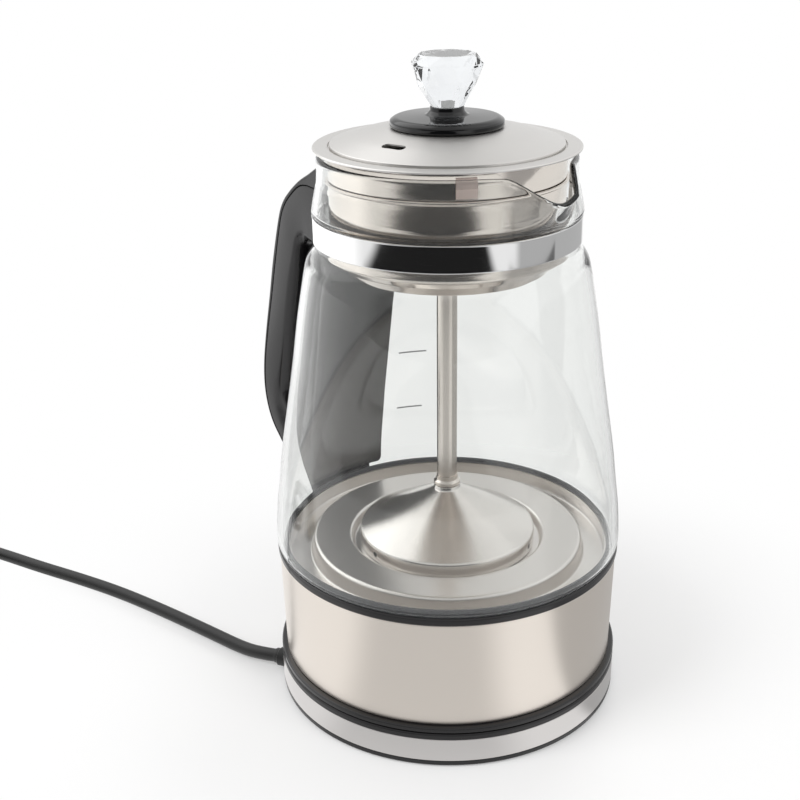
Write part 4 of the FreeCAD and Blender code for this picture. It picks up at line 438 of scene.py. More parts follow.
def lathe(name, outline, finish, body, slot, nodes=(), segments=160, sharp=35.0, steps=4,
          sweep=FULL_TURN, start=0.0):
    """Turn a closed outline of (radius, height) about the Z axis."""
    line = held(rounded_line(outline, steps))
    whole = sweep > FULL_TURN - TINY
    columns = segments if whole else segments + 1
    corners = []
    for column in range(columns):
        angle = start + sweep * column / segments
        corners += [round_axis(radius, angle, height) for radius, height in line]
    size = len(line)
    faces = [face for face in faces_between(columns, size, whole)
             if max(line[face[0] % size][0], line[face[3] % size][0]) >= TINY]
    if not whole:
        faces.append(list(range(size)))
        faces.append([(columns - 1) * size + row for row in reversed(range(size))])
    clean = []
    for face in faces:
        spots = []
        for corner in face:
            if all(math.dist(corners[corner], corners[other]) >= SAME_SPOT for other in spots):
                spots.append(corner)
        if len(spots) > 2:
            clean.append(spots)
    return mesh_object(name, corners, clean, finish, body, slot, nodes, sharp)


def bored(made, name, cutter_corners, cutter_faces):
    """Cut a closed mesh out of a piece."""
    tool = placed_mesh(name, cutter_corners, cutter_faces)
    cut = made.modifiers.new(name, "BOOLEAN")
    cut.operation = "DIFFERENCE"
    cut.solver = "EXACT"
    cut.object = tool
    bpy.context.view_layer.update()
    graph = bpy.context.evaluated_depsgraph_get()
    result = bpy.data.meshes.new_from_object(made.evaluated_get(graph))
    made.modifiers.remove(cut)
    old = made.data
    made.data = result
    bpy.data.meshes.remove(old)
    bpy.data.objects.remove(tool)
    return made


def prism(outline, low, high):
    """Corners and faces of an upright prism over an outline of (x, y)."""
    corners = [(x, y, low) for x, y in outline] + [(x, y, high) for x, y in outline]
    return corners, between_ends(len(outline))


def between_ends(count):
    """Faces of a bar between two outlines of the same number of corners, one after the other."""
    faces = [list(range(count))[::-1], list(range(count, 2 * count))]
    for index in range(count):
        follow = (index + 1) % count
        faces.append([index, follow, count + follow, count + index])
    return faces


def smooth_through(stations, parts):
    """Points on a smooth curve through stations, each a list of numbers."""
    line = []
    last = len(stations) - 1
    for index in range(last):
        before = stations[max(index - 1, 0)]
        first = stations[index]
        second = stations[index + 1]
        after = stations[min(index + 2, last)]
        for part in range(parts):
            t = part / parts
            line.append([
                0.5 * (2 * b + (c - a) * t + (2 * a - 5 * b + 4 * c - d) * t * t
                       + (3 * b - a - 3 * c + d) * t ** 3)
                for a, b, c, d in zip(before, first, second, after)])
    line.append(list(stations[last]))
    return line


# Profile of the vessel: outer radius by height, above the foot that sits in the ring.
GLASS_PROFILE = [
    (71.8, 77.1), (73.3, 77.1), (74.6, 78.2), (77.0, 78.4), (80.0, 78.3), (86.0, 77.95),
    (93.0, 77.3), (103.0, 76.0), (119.0, 74.0), (140.0, 70.7), (160.0, 67.65), (178.0, 65.1),
    (196.0, 62.0), (201.0, 61.05), (204.5, 60.1), (206.8, 58.9), (209.0, 57.4), (211.0, 56.2),
    (213.0, 55.9), (218.0, 55.9), (223.6, 55.9), (224.6, 56.5), (226.0, 57.1), (228.0, 56.8),
    (230.0, 56.4), (234.0, 55.5), (238.0, 54.5), (242.0, 54.2), (247.8, 54.2)]


def glass_radius(height):
    """Outer radius of the vessel at a height."""
    for (low, first), (high, second) in zip(GLASS_PROFILE, GLASS_PROFILE[1:]):
        if height <= high:
            share = max(0.0, (height - low) / (high - low))
            return first + (second - first) * share
    return GLASS_PROFILE[-1][1]


class TEAMAKER_OT_glass(bpy.types.Operator):
    """Blow the vessel: conical body, groove for the band, rim and pouring lip"""

    bl_idname = "teamaker.glass"
    bl_label = "Glass vessel"

    def execute(self, context):
        sizes = context.scene.tea_maker_sizes
        wall = sizes.glass_wall
        rim = node_top("glass_vessel")
        profile = smooth_through(GLASS_PROFILE, 4)
        lip_start = 225.5
        bare_rim = 55.0
        floor_height = 71.8
        spread = math.radians(sizes.lip_spread)
        columns = 320
        # Columns stand closer together near the lip.
        crowding = 0.55
        corners = []
        for column in range(columns):
            turn = FULL_TURN * column / columns
            angle = turn - crowding * math.sin(turn)
            off = (angle + math.pi) % FULL_TURN - math.pi
            near = abs(off) / spread
            dip = (0.5 + 0.5 * math.cos(math.pi * near)) if near < 1 else 0.0
            swell = math.exp(-(off / (spread * 0.75)) ** 2)
            top = rim - (rim - sizes.lip_height) * dip ** 0.85
            outer = []
            for height, radius in profile:
                if height > lip_start:
                    share = (height - lip_start) / (rim - lip_start)
                    real = lip_start + (top - lip_start) * share
                    grow = max(0.0, (real - lip_start) / (sizes.lip_height - lip_start))
                    pull = (sizes.lip_reach - bare_rim) * min(grow, 1.15) ** 1.2 * swell
                    outer.append((glass_radius(real) + pull, real))
                else:
                    outer.append((radius, height))
            tip = outer[-1]
            line = list(outer)
            for step in range(1, 6):
                arc = math.pi * step / 6
                line.append((tip[0] - wall / 2 + wall / 2 * math.cos(arc),
                             tip[1] + wall / 2 * math.sin(arc)))
            for radius, height in reversed(outer):
                line.append((radius - wall, max(height, floor_height)))
            corners += [round_axis(radius, angle, height) for radius, height in line]
        faces = faces_between(columns, len(corners) // columns)
        mesh_object("glass_vessel_blown", corners, faces, "glass", "kettle", "clear_glass",
                    ["glass_vessel"], sharp=60.0)
        self.marks()
        return {"FINISHED"}

    def marks(self):
        """Two plain level marks printed inside the back of the glass."""
        corners = []
        faces = []
        for height, first, last in ((136.0, 145.5, 157.0), (105.0, 147.0, 157.0)):
            radius = glass_radius(height) + 0.06
            steps = 10
            base = len(corners)
            for step in range(steps + 1):
                angle = math.radians(first + (last - first) * step / steps)
                for out, up in ((0.0, -0.35), (0.1, -0.35), (0.1, 0.35), (0.0, 0.35)):
                    corners.append(round_axis(radius + out, angle, height + up))
            for face in faces_between(steps + 1, 4, closed=False):
                faces.append([base + corner for corner in face])
            faces.append([base, base + 1, base + 2, base + 3])
            end = base + steps * 4
            faces.append([end + 3, end + 2, end + 1, end])
        mesh_object("level_marks", corners, faces, "mark", "kettle", "clear_glass")


class TEAMAKER_OT_power_base(bpy.types.Operator):
    """Dress the power base: cover, deck, steel band, feet and connector"""

    bl_idname = "teamaker.power_base"
    bl_label = "Power base"

    def execute(self, context):
        reach = node_reach("base_deck")
        top = node_top("base_deck")
        lathe("base_deck_moulded", [
            (13.2, top - 2.4), (13.2, top, 0.4), (reach, top, 0.9), (reach, top - 2.7, 0.2),
            (reach - 0.7, top - 2.7), (reach - 0.7, 3.1), (reach - 2.5, 3.1), (reach - 2.5, top - 2.4)],
            "deck", "power_base", "black_plastic", ["base_deck"])
        lathe("base_cover_moulded", [
            (0, 0), (20, 0, 0.3), (20, 0.5), (78.1, 0.5, 0.3), (78.7, 1.0, 0.4), (78.7, 3.0, 0.2),
            (76.0, 3.0), (76.0, 7), (74.3, 7), (74.3, 3.0), (0, 3.0)],
            "deck", "power_base", "black_plastic", ["base_cover"])
        lathe("base_band_rolled", [
            (reach - 0.6, 3.15), (reach - 0.05, 3.15, 0.2), (reach - 0.05, 13.95, 0.2),
            (reach - 0.6, 13.95)],
            "base_band", "power_base", "brushed_sleeve", ["base_steel_band"])
        for name, finish in (("base_feet", "rubber"), ("base_screws", "screw"),
                             ("base_connector", "plastic"), ("base_contact", "contact")):
            carried_over(name, finish)
        return {"FINISHED"}


def softened(piece, width_mm, segments):
    """Round the edges of a piece a little, so that they catch the light."""
    soften = piece.modifiers.new("softened_edges", "BEVEL")
    soften.width = width_mm * MM
    soften.segments = segments


def carried_over(name, finish):
    """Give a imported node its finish."""
    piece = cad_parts[name]
    piece.data.materials.clear()
    piece.data.materials.append(finish_named(finish))
    return piece


class TEAMAKER_OT_kettle_foot(bpy.types.Operator):
    """Dress the foot of the kettle: lower ring, brushed sleeve, upper ring, socket and seal"""

    bl_idname = "teamaker.kettle_foot"
    bl_label = "Foot of the kettle"

    def execute(self, context):
        lathe("kettle_cover_moulded", [
            (17.9, 17.1), (78.2, 17.1, 0.5), (78.8, 17.7, 0.5), (78.8, 19.3, 0.5), (78.2, 19.85, 0.3),
            (75.4, 19.9), (75.4, 26), (73.6, 26), (73.6, 19.4), (17.9, 19.4)],
            "plastic", "kettle", "black_plastic", ["kettle_cover"])
        sleeve = lathe("sleeve_rolled", [
            (75.55, 20.0), (76.15, 20.0, 0.25), (76.3, 20.6, 0.3), (77.45, 69.0, 0.3),
            (77.4, 69.7, 0.2), (76.9, 69.7)],
            "sleeve", "kettle", "brushed_sleeve", ["steel_sleeve"], segments=256)
        half = 9.6
        window = prism([(-90, -half), (-66, -half), (-66, half), (-90, half)], 33.4, 48.6)
        bored(sleeve, "switch_window_cutter", *window)
        lathe("sleeve_ring_moulded", [
            (74.4, 57), (76.4, 57), (76.4, 69.8), (77.7, 69.8, 0.3), (78.2, 70.3, 0.5),
            (78.2, 72.6, 0.6), (77.5, 73.3, 0.4), (77.2, 73.3), (77.2, 70.7), (74.4, 70.7)],
            "plastic", "kettle", "black_plastic", ["sleeve_ring"])
        for name, finish in (("kettle_socket", "plastic"), ("socket_contacts", "contact"),
                             ("socket_retainer", "plastic"), ("glass_seal", "seal")):
            carried_over(name, finish)
        return {"FINISHED"}


class TEAMAKER_OT_heater(bpy.types.Operator):
    """Dress the heater: drawn plate, spreader, element and thermostat"""

    bl_idname = "teamaker.heater"
    bl_label = "Heater"

    def execute(self, context):
        lathe("heater_plate_drawn", [
            (0, 69.2), (43.6, 69.2, 0.8), (44.8, 73.1, 0.8), (60.8, 73.1, 0.8), (62.0, 66.2, 0.6),
            (73.3, 66.2, 1.4), (73.3, 73.6), (72.5, 73.6), (72.5, 67.0, 1.0), (62.7, 67.0, 1.0),
            (61.6, 73.9, 1.6), (44.0, 73.9, 1.6), (42.8, 70.0, 0.9), (0, 70.0)],
            "plate", "kettle", "brushed_sleeve", ["heater_plate", "heater_well"])
        for name, finish in (("heat_spreader", "screw"), ("heating_element", "screw"),
                             ("thermostat", "screw"), ("microswitch", "plastic")):
            carried_over(name, finish)
        return {"FINISHED"}


class TEAMAKER_OT_neck_band(bpy.types.Operator):
    """Roll the polished band round the neck, with its closing tabs and screw"""

    bl_idname = "teamaker.neck_band"
    bl_label = "Neck band"

    def execute(self, context):
        split = math.radians(4.2)
        lathe("neck_band_rolled", [
            (56.0, 213.4), (56.9, 213.4, 0.25), (56.9, 218.9), (56.9, 224.4, 0.25), (56.0, 224.4)],
            "chrome", "kettle", "chrome_band", ["neck_band"], segments=256,
            sweep=FULL_TURN - 2 * split, start=math.pi + split)
        for side in (-1, 1):
            near = side * 3.7
            far = side * 4.6
            tab = prism([(-70.0, near), (-56.2, near), (-56.2, far), (-70.0, far)], 214.6, 223.2)
            mesh_object("neck_band_tab_%s" % ("left" if side > 0 else "right"), *tab,
                        "chrome", "kettle", "chrome_band")
        carried_over("neck_band_screw", "screw")
        return {"FINISHED"}


# Stations along the handle: inner point, joint between the halves, outer point, as (reach, height).
HANDLE_STATIONS = [
    (58.9, 207.0, 58.9, 224.5, 58.9, 239.4),
    (66.0, 197.6, 68.6, 224.8, 66.0, 235.4),
    (73.0, 197.9, 74.0, 225.2, 73.6, 230.8),
    (78.2, 197.9, 79.8, 223.9, 80.4, 226.4),
    (81.2, 196.2, 86.3, 218.9, 87.6, 220.6),
    (82.9, 192.6, 91.6, 213.0, 93.4, 214.4),
    (84.2, 186.5, 95.3, 205.0, 97.4, 205.8),
    (86.9, 174.5, 100.9, 184.6, 103.5, 185.3),
    (90.4, 157.5, 105.6, 165.4, 107.9, 166.0),
    (94.1, 139.5, 110.4, 146.8, 112.3, 147.2),
    (97.2, 124.8, 114.0, 130.2, 115.5, 130.4),
    (97.9, 118.6, 115.0, 117.6, 116.3, 117.6),
    (96.3, 113.8, 113.8, 107.6, 114.7, 107.2),
    (92.0, 109.0, 110.2, 98.8, 110.9, 98.1),
    (86.6, 104.2, 104.0, 91.2, 104.6, 90.5),
    (81.6, 99.6, 95.2, 81.8, 95.7, 81.2),
    (79.5, 94.5, 88.4, 74.6, 88.8, 74.0),
    (79.0, 84.0, 85.4, 70.6, 85.6, 70.2),
    (78.8, 72.0, 84.5, 66.0, 84.7, 65.8),
    (78.7, 57.2, 84.4, 57.2, 84.5, 57.0)]


def handle_sweep(name, starts, ends, half_width, start_round, end_round, finish, nodes):
    """Sweep a rounded rectangle between two lines of points in the handle's plane."""
    corners = []
    rounding = 5
    count = len(starts)
    for index, (first, last) in enumerate(zip(starts, ends)):
        way = Vector(last) - Vector(first)
        depth = way.length
        way.normalize()
        share = index / (count - 1)
        most = depth * 0.48
        inner = min(start_round(share), most)
        outer = min(end_round(share), most)
        section = []
        for side, at, radius, begin in ((1, 0.0, inner, 0.0), (1, depth, outer, 0.5),
                                        (-1, depth, outer, 1.0), (-1, 0.0, inner, 1.5)):
            centre_w = radius if at == 0.0 else depth - radius
            centre_y = side * (half_width - radius)
            for step in range(rounding + 1):
                angle = math.pi * (begin + 0.5 * step / rounding)
                section.append((centre_w - radius * math.cos(angle), centre_y + radius * math.sin(angle)))
        for along, across in section:
            corners.append((-(first[0] + way.x * along), across, first[1] + way.y * along))
    rows = len(corners) // count
    faces = faces_between(count, rows, closed=False)
    faces.append(list(range(rows)))
    faces.append([(count - 1) * rows + row for row in reversed(range(rows))])
    return mesh_object(name, corners, faces, finish, "kettle", "black_plastic", nodes, sharp=32.0)


class TEAMAKER_OT_handle(bpy.types.Operator):
    """Mould the handle: inner half with the plate along the glass, outer half and screws"""

    bl_idname = "teamaker.handle"
    bl_label = "Handle"

    def execute(self, context):
        sizes = context.scene.tea_maker_sizes
        line = smooth_through(HANDLE_STATIONS, 5)
        inner, joint, outer = ([row[at:at + 2] for row in line] for at in (0, 2, 4))
        half = sizes.handle_half_width

        def grip_round(share):
            """Edges are nearly sharp at both ends and round along the grip."""
            rise = max(0.0, min(1.0, (share - 0.03) * 8))
            fall = max(0.0, min(1.0, (0.80 - share) * 8))
            return 1.5 + 5.0 * rise * fall

        handle_sweep("handle_inner_half", inner, joint, half, grip_round, lambda share: 0.5, "plastic",
                     ["handle_inner_shell"])
        gap = 0.35
        begin = []
        for first, last in zip(joint, outer):
            way = Vector(last) - Vector(first)
            shift = way.normalized() * min(gap, way.length * 0.3) if way.length > 0 else way
            begin.append((first[0] + shift.x, first[1] + shift.y))
        handle_sweep("handle_outer_half", begin, outer, half, lambda share: 0.4,
                     lambda share: 2.4, "plastic", ["handle_outer_shell"])
        self.plate(sizes)
        carried_over("handle_screw", "screw")
        return {"FINISHED"}

    def plate(self, sizes):
        """Curved plate that hugs the glass behind the grip, with rounded edges."""
        low = 76.0
        high = 205.5
        wall = 3.6
        edge_round = 1.6
        off_glass = 0.35
        rows = 44
        columns = 22
        corners = []
        for row in range(rows + 1):
            height = low + (high - low) * (0.5 - 0.5 * math.cos(math.pi * row / rows))
            edge = min(height - low, high - height)
            corner = 9.0 if high - height < height - low else 2.5
            half = sizes.plate_half_width
            if edge < corner:
                half -= corner - math.sqrt(max(0.0, corner ** 2 - (corner - edge) ** 2))
            radius = glass_radius(height) + off_glass
            for column in range(columns + 1):
                across = -math.cos(math.pi * column / columns) * half
                angle = across / radius
                soft = min(1.0, (half - abs(across)) / edge_round, edge / edge_round)
                thick = wall * (0.35 + 0.65 * math.sqrt(max(0.0, 1 - (1 - soft) ** 2)))
                for size in (radius, radius + thick):
                    corners.append((-size * math.cos(angle), size * math.sin(angle), height))
        width = (columns + 1) * 2
        faces = []
        for row in range(rows):
            for column in range(columns):
                a = row * width + column * 2
                faces.append([a, a + 2, a + width + 2, a + width])
                faces.append([a + 1, a + width + 1, a + width + 3, a + 3])
        for row in range(rows):
            for column in (0, columns):
                a = row * width + column * 2
                faces.append([a, a + 1, a + 1 + width, a + width])
        for column in range(columns):
            for row in (0, rows):
                a = row * width + column * 2
                faces.append([a, a + 1, a + 3, a + 2])
        mesh_object("handle_back_plate", corners, faces, "plastic", "kettle", "black_plastic")


class TEAMAKER_OT_switch(bpy.types.Operator):
    """Dress the switch at the back of the sleeve"""

    bl_idname = "teamaker.switch"
    bl_label = "Switch"

    def execute(self, context):
        for name, finish in (("switch_surround", "plastic"), ("switch_lever", "plastic"),
                             ("switch_pin", "screw")):
            softened(carried_over(name, finish), 0.5, 2)
        return {"FINISHED"}


class TEAMAKER_OT_basket(bpy.types.Operator):
    """Draw the tea basket, riser tube, nut, ferrule, spray cap and steam cone"""

    bl_idname = "teamaker.basket"
    bl_label = "Basket and riser"

    def execute(self, context):
        lathe("tea_basket_drawn", [
            (4.6, 199.0), (41.6, 199.0, 1.6), (44.7, 203.4, 1.2), (46.2, 203.9, 0.8),
            (49.5, 207.2, 2.6), (49.5, 238.5, 0.3), (50.3, 238.6, 0.5), (50.7, 239.2, 0.4),
            (50.6, 239.8, 0.4), (50.0, 240.0, 0.4), (48.7, 240.0, 0.4), (48.7, 207.5, 1.8),
            (45.8, 204.6, 0.8), (44.2, 204.1, 0.8), (41.0, 199.8, 0.8), (4.6, 199.8)],
            "basket", "basket", "sheet_steel", ["tea_basket"], segments=192)
        lathe("riser_tube_drawn", [
            (3.9, 95.2), (4.5, 95.2), (4.5, 232.0), (3.9, 232.0)],
            "sheet", "basket", "sheet_steel", ["riser_tube"], segments=96)
        cone = lathe("steam_cone_drawn", [
            (39.2, 70.3), (40.0, 70.3, 0.2), (40.0, 77.2, 1.6), (6.0, 95.8, 1.4), (5.6, 97.4, 0.3),
            (4.6, 97.4), (4.6, 95.6), (38.9, 76.8, 1.0)],
            "cone", "basket", "sheet_steel", ["steam_cone"], segments=192)
        hole_radius = 1.3
        hole_height = 73.4
        inside = 34
        outside = 44
        for turn in (24.0, 144.0, 264.0):
            heading = math.radians(turn)
            line = Vector((math.cos(heading), math.sin(heading), 0.0))
            side = UP.cross(line)
            rim = [(side * math.cos(step * math.pi / 8) + UP * math.sin(step * math.pi / 8)) * hole_radius
                   + UP * hole_height for step in range(16)]
            corners = [point + line * along for along in (inside, outside) for point in rim]
            bored(cone, "water_hole_cutter", corners, between_ends(len(rim)))
        for name in ("tube_ferrule", "tube_nut", "spray_cap"):
            carried_over(name, "sheet")
        return {"FINISHED"}


class TEAMAKER_OT_lid(bpy.types.Operator):
    """Draw the lid: dome with groove and vent, skirt, inner sheet and clips"""

    bl_idname = "teamaker.lid"
    bl_label = "Lid"

    def execute(self, context):
        dome = lathe("lid_dome_drawn", [
            (2.3, 259.4), (24.5, 259.4, 8.0), (37.0, 256.9, 60.0), (48.5, 253.4, 0.35),
            (48.6, 251.6, 0.1), (49.3, 251.6, 0.1), (49.35, 252.5, 0.25), (55.2, 252.4, 0.5),
            (55.65, 252.0, 0.3), (55.6, 251.5, 0.2), (54.4, 251.6), (49.9, 251.6, 0.3),
            (49.8, 250.9), (47.9, 250.9),
            (47.8, 252.9, 0.4), (36.8, 256.3, 60.0), (24.4, 258.8, 8.0), (2.3, 258.8)],
            "lid", "lid", "brushed_sleeve", ["lid_dome"], segments=256, steps=5)
        self.vent(dome)
        lathe("lid_skirt_rolled", [
            (48.8, 240.3), (49.5, 240.3, 0.2), (49.5, 250.7), (48.8, 250.7)],
            "basket", "lid", "sheet_steel", ["lid_skirt"], segments=192)
        carried_over("lid_liner", "sheet")
        carried_over("lid_clips", "clip")
        return {"FINISHED"}

    def vent(self, dome):
        """Cut the steam vent, a slot with round ends."""
        heading = math.radians(12.0)
        half_width = 2.0
        half_length = 3.45
        middle = Vector((7.4, -35.3))
        outline = []
        for end in (1, -1):
            for step in range(9):
                angle = math.pi * (step / 8 - 0.5) + (0 if end > 0 else math.pi)
                x = end * half_length + half_width * math.cos(angle)
                y = half_width * math.sin(angle)
                outline.append((middle.x + x * math.cos(heading) - y * math.sin(heading),
                                middle.y + x * math.sin(heading) + y * math.cos(heading)))
        bored(dome, "vent_cutter", *prism(outline, 250.0, 266.0))


class TEAMAKER_OT_knob(bpy.types.Operator):
    """Turn the black collar and cut the faceted knob"""

    bl_idname = "teamaker.knob"
    bl_label = "Knob"

    def execute(self, context):
        sizes = context.scene.tea_maker_sizes
        lathe("knob_collar_polished", [
            (2.2, 259.5), (22.9, 259.5, 0.4), (23.6, 260.3, 0.7), (23.6, 262.3, 1.2), (21.6, 263.7, 5.0),
            (8.6, 264.3, 2.0), (7.2, 266.0, 1.2), (7.0, 267.6, 0.3), (2.2, 267.6)],
            "gloss", "lid", "gloss_black", ["knob_collar"], segments=128, steps=6)
        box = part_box("crystal_knob")
        foot = box[0].z / MM
        height = (box[1].z - box[0].z) / MM
        rings = [(6.9, 0.0, 0.0), (11.8, 0.394, 0.5), (15.0, 0.817, 0.0), (11.8, 1.0, 0.5)]
        count = sizes.knob_facets
        corners = []
        for radius, share, shift in rings:
            for index in range(count):
                angle = FULL_TURN * (index + shift) / count
                corners.append(round_axis(radius, angle, foot + height * share))
        faces = [list(range(count))[::-1], [3 * count + index for index in range(count)]]
        for level in range(3):
            for index in range(count):
                follow = (index + 1) % count
                low = level * count
                high = low + count
                if level % 2 == 0:
                    faces.append([low + index, low + follow, high + index])
                    faces.append([low + follow, high + follow, high + index])
                else:
                    faces.append([low + index, low + follow, high + follow])
                    faces.append([low + index, high + follow, high + index])
        knob = mesh_object("knob_faceted", corners, faces, "knob", "lid", "clear_knob",
                           ["crystal_knob"], sharp=3.0)
        softened(knob, 0.15, 1)
        carried_over("knob_screw", "screw")
        return {"FINISHED"}


# Route of the cord from the base to the coil, then the tail to the plug.
LEAD_POINTS = [
    (-51.6, -61.9, 6.0), (-61.9, -66.6, 4.7), (-74.0, -69.4, 3.3), (-94.6, -73.1, 3.3),
    (-127.4, -79.6, 3.3), (-160.0, -87.3, 3.3), (-187.4, -96.3, 3.3), (-215.1, -106.7, 3.3),
    (-242.3, -115.7, 3.3), (-265.6, -124.6, 3.3)]
TAIL_POINTS = [
    (-299.5, -185.4, 10.3), (-295.0, -198.7, 10.3), (-284.8, -206.8, 12.7), (-271.4, -210.7, 16.9),
    (-257.4, -212.8, 18.2)]
COIL_CENTRE = (-270.475, -167.61)
COIL_START = (-284.1, -131.6)
COIL_TURNS = 2.25


def coil_points(radius, step, rest):
    """Points of the coil: it winds in, climbs one layer and winds out again."""
    first = math.atan2(COIL_START[1] - COIL_CENTRE[1], COIL_START[0] - COIL_CENTRE[0])
    per_turn = 16
    # The curve runs a little inside its points.
    outset = 1.008
    winds_in = 1.5
    climb_starts = 1.25
    climb_takes = 0.5
    points = []
    for index in range(int(COIL_TURNS * per_turn) + 1):
        turns = index / per_turn
        size = radius - step * min(turns, winds_in) + step * max(turns - winds_in, 0.0)
        climb = min(max((turns - climb_starts) / climb_takes, 0.0), 1.0)
        height = rest + step * climb * climb * (3 - 2 * climb)
        angle = first + FULL_TURN * turns
        points.append((COIL_CENTRE[0] + size * outset * math.cos(angle),
                       COIL_CENTRE[1] + size * outset * math.sin(angle), height))
    return points


class TEAMAKER_OT_cord(bpy.types.Operator):
    """Lay the mains cord with its strain relief and plug"""

    bl_idname = "teamaker.cord"
    bl_label = "Mains cord"

    def execute(self, context):
        diameter = context.scene.tea_maker_sizes.cord_diameter
        points = LEAD_POINTS + coil_points(38.5, 7.0, 3.3) + TAIL_POINTS
        curve = bpy.data.curves.new("mains_cord", "CURVE")
        curve.dimensions = "3D"
        curve.bevel_depth = diameter / 2 * MM
        curve.bevel_resolution = 6
        spline = curve.splines.new("NURBS")
        spline.points.add(len(points) - 1)
        for spot, point in zip(spline.points, points):
            spot.co = (*[value * MM for value in point], 1.0)
        spline.order_u = 3
        spline.use_endpoint_u = True
        spline.resolution_u = 8
        curve.use_fill_caps = True
        cord = bpy.data.objects.new("mains_cord", curve)
        context.scene.collection.objects.link(cord)
        curve.materials.append(finish_named("cord"))
        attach(cord, "power_base")
        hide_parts("cord_lead", "cord_coil", "cord_tail")
        plug = self.plug()
        pins = carried_over("plug_pins", "contact")
        self.relief(diameter)
        return {"FINISHED"}

    def relief(self, diameter):
        """Slim sleeve round the cord where it enters the base."""
        start = Vector(LEAD_POINTS[0])
        ahead = Vector(LEAD_POINTS[1]) - start
        ahead.z = 0.0
        ahead.normalize()
        side = UP.cross(ahead)
        hole = diameter / 2 + 0.02
        deck_floor = 3.2
        profile = [(-17.0, hole), (-17.0, 4.0), (-3.5, 4.6), (-0.5, 4.6), (0.4, 3.75), (1.9, 3.6),
                   (2.3, 3.4), (2.3, hole)]
        corners = []
        count = 32
        for index in range(count):
            turn = FULL_TURN * index / count
            way = side * math.cos(turn) + UP * math.sin(turn)
            for along, size in profile:
                spot = start + ahead * along + way * size
                spot.z = max(spot.z, deck_floor)
                corners.append(spot)
        return mesh_object("strain_relief_moulded", corners, faces_between(count, len(profile)), "plug",
                           "power_base", "plug_black", ["strain_relief"])

    def plug(self):
        """Round moulded plug with a ribbed bend relief and finger grooves."""
        heading = Vector((0.98858, -0.15071, 0.0))
        entry = Vector(TAIL_POINTS[-1])
        profile = [(0.0, 0.0), (4.4, 0.0)]
        for rib in range(6):
            at = 1.2 + rib * 3.1
            size = 4.4 + rib * 0.34
            profile += [(size, at), (size, at + 1.9), (size - 0.9, at + 2.1), (size - 0.9, at + 2.9)]
        profile += [(6.6, 20.2), (8.6, 20.4), (9.6, 21.6), (10.4, 30.5), (16.2, 35.8), (17.6, 37.4),
                    (18.0, 39.2), (18.0, 56.8), (17.2, 57.8), (0.0, 57.8)]
        side = UP.cross(heading)
        columns = 72
        grip_from = 37
        grip_to = 57.5
        corners = []
        for column in range(columns):
            angle = FULL_TURN * column / columns
            for radius, along in profile:
                size = radius
                if grip_from < along < grip_to and radius > 15:
                    flute = max(0.0, abs(math.cos(angle)) - 0.93) / 0.07
                    size = radius - 2.0 * flute ** 0.5 * 0.6
                corners.append(entry + heading * along + side * (size * math.cos(angle))
                               + UP * (size * math.sin(angle)))
        rows = len(profile)
        faces = [face for face in faces_between(columns, rows) if face[0] % rows < rows - 1]
        return mesh_object("plug_moulded", corners, faces, "plug", "power_base", "plug_black",
                           ["plug_body"], sharp=40.0)


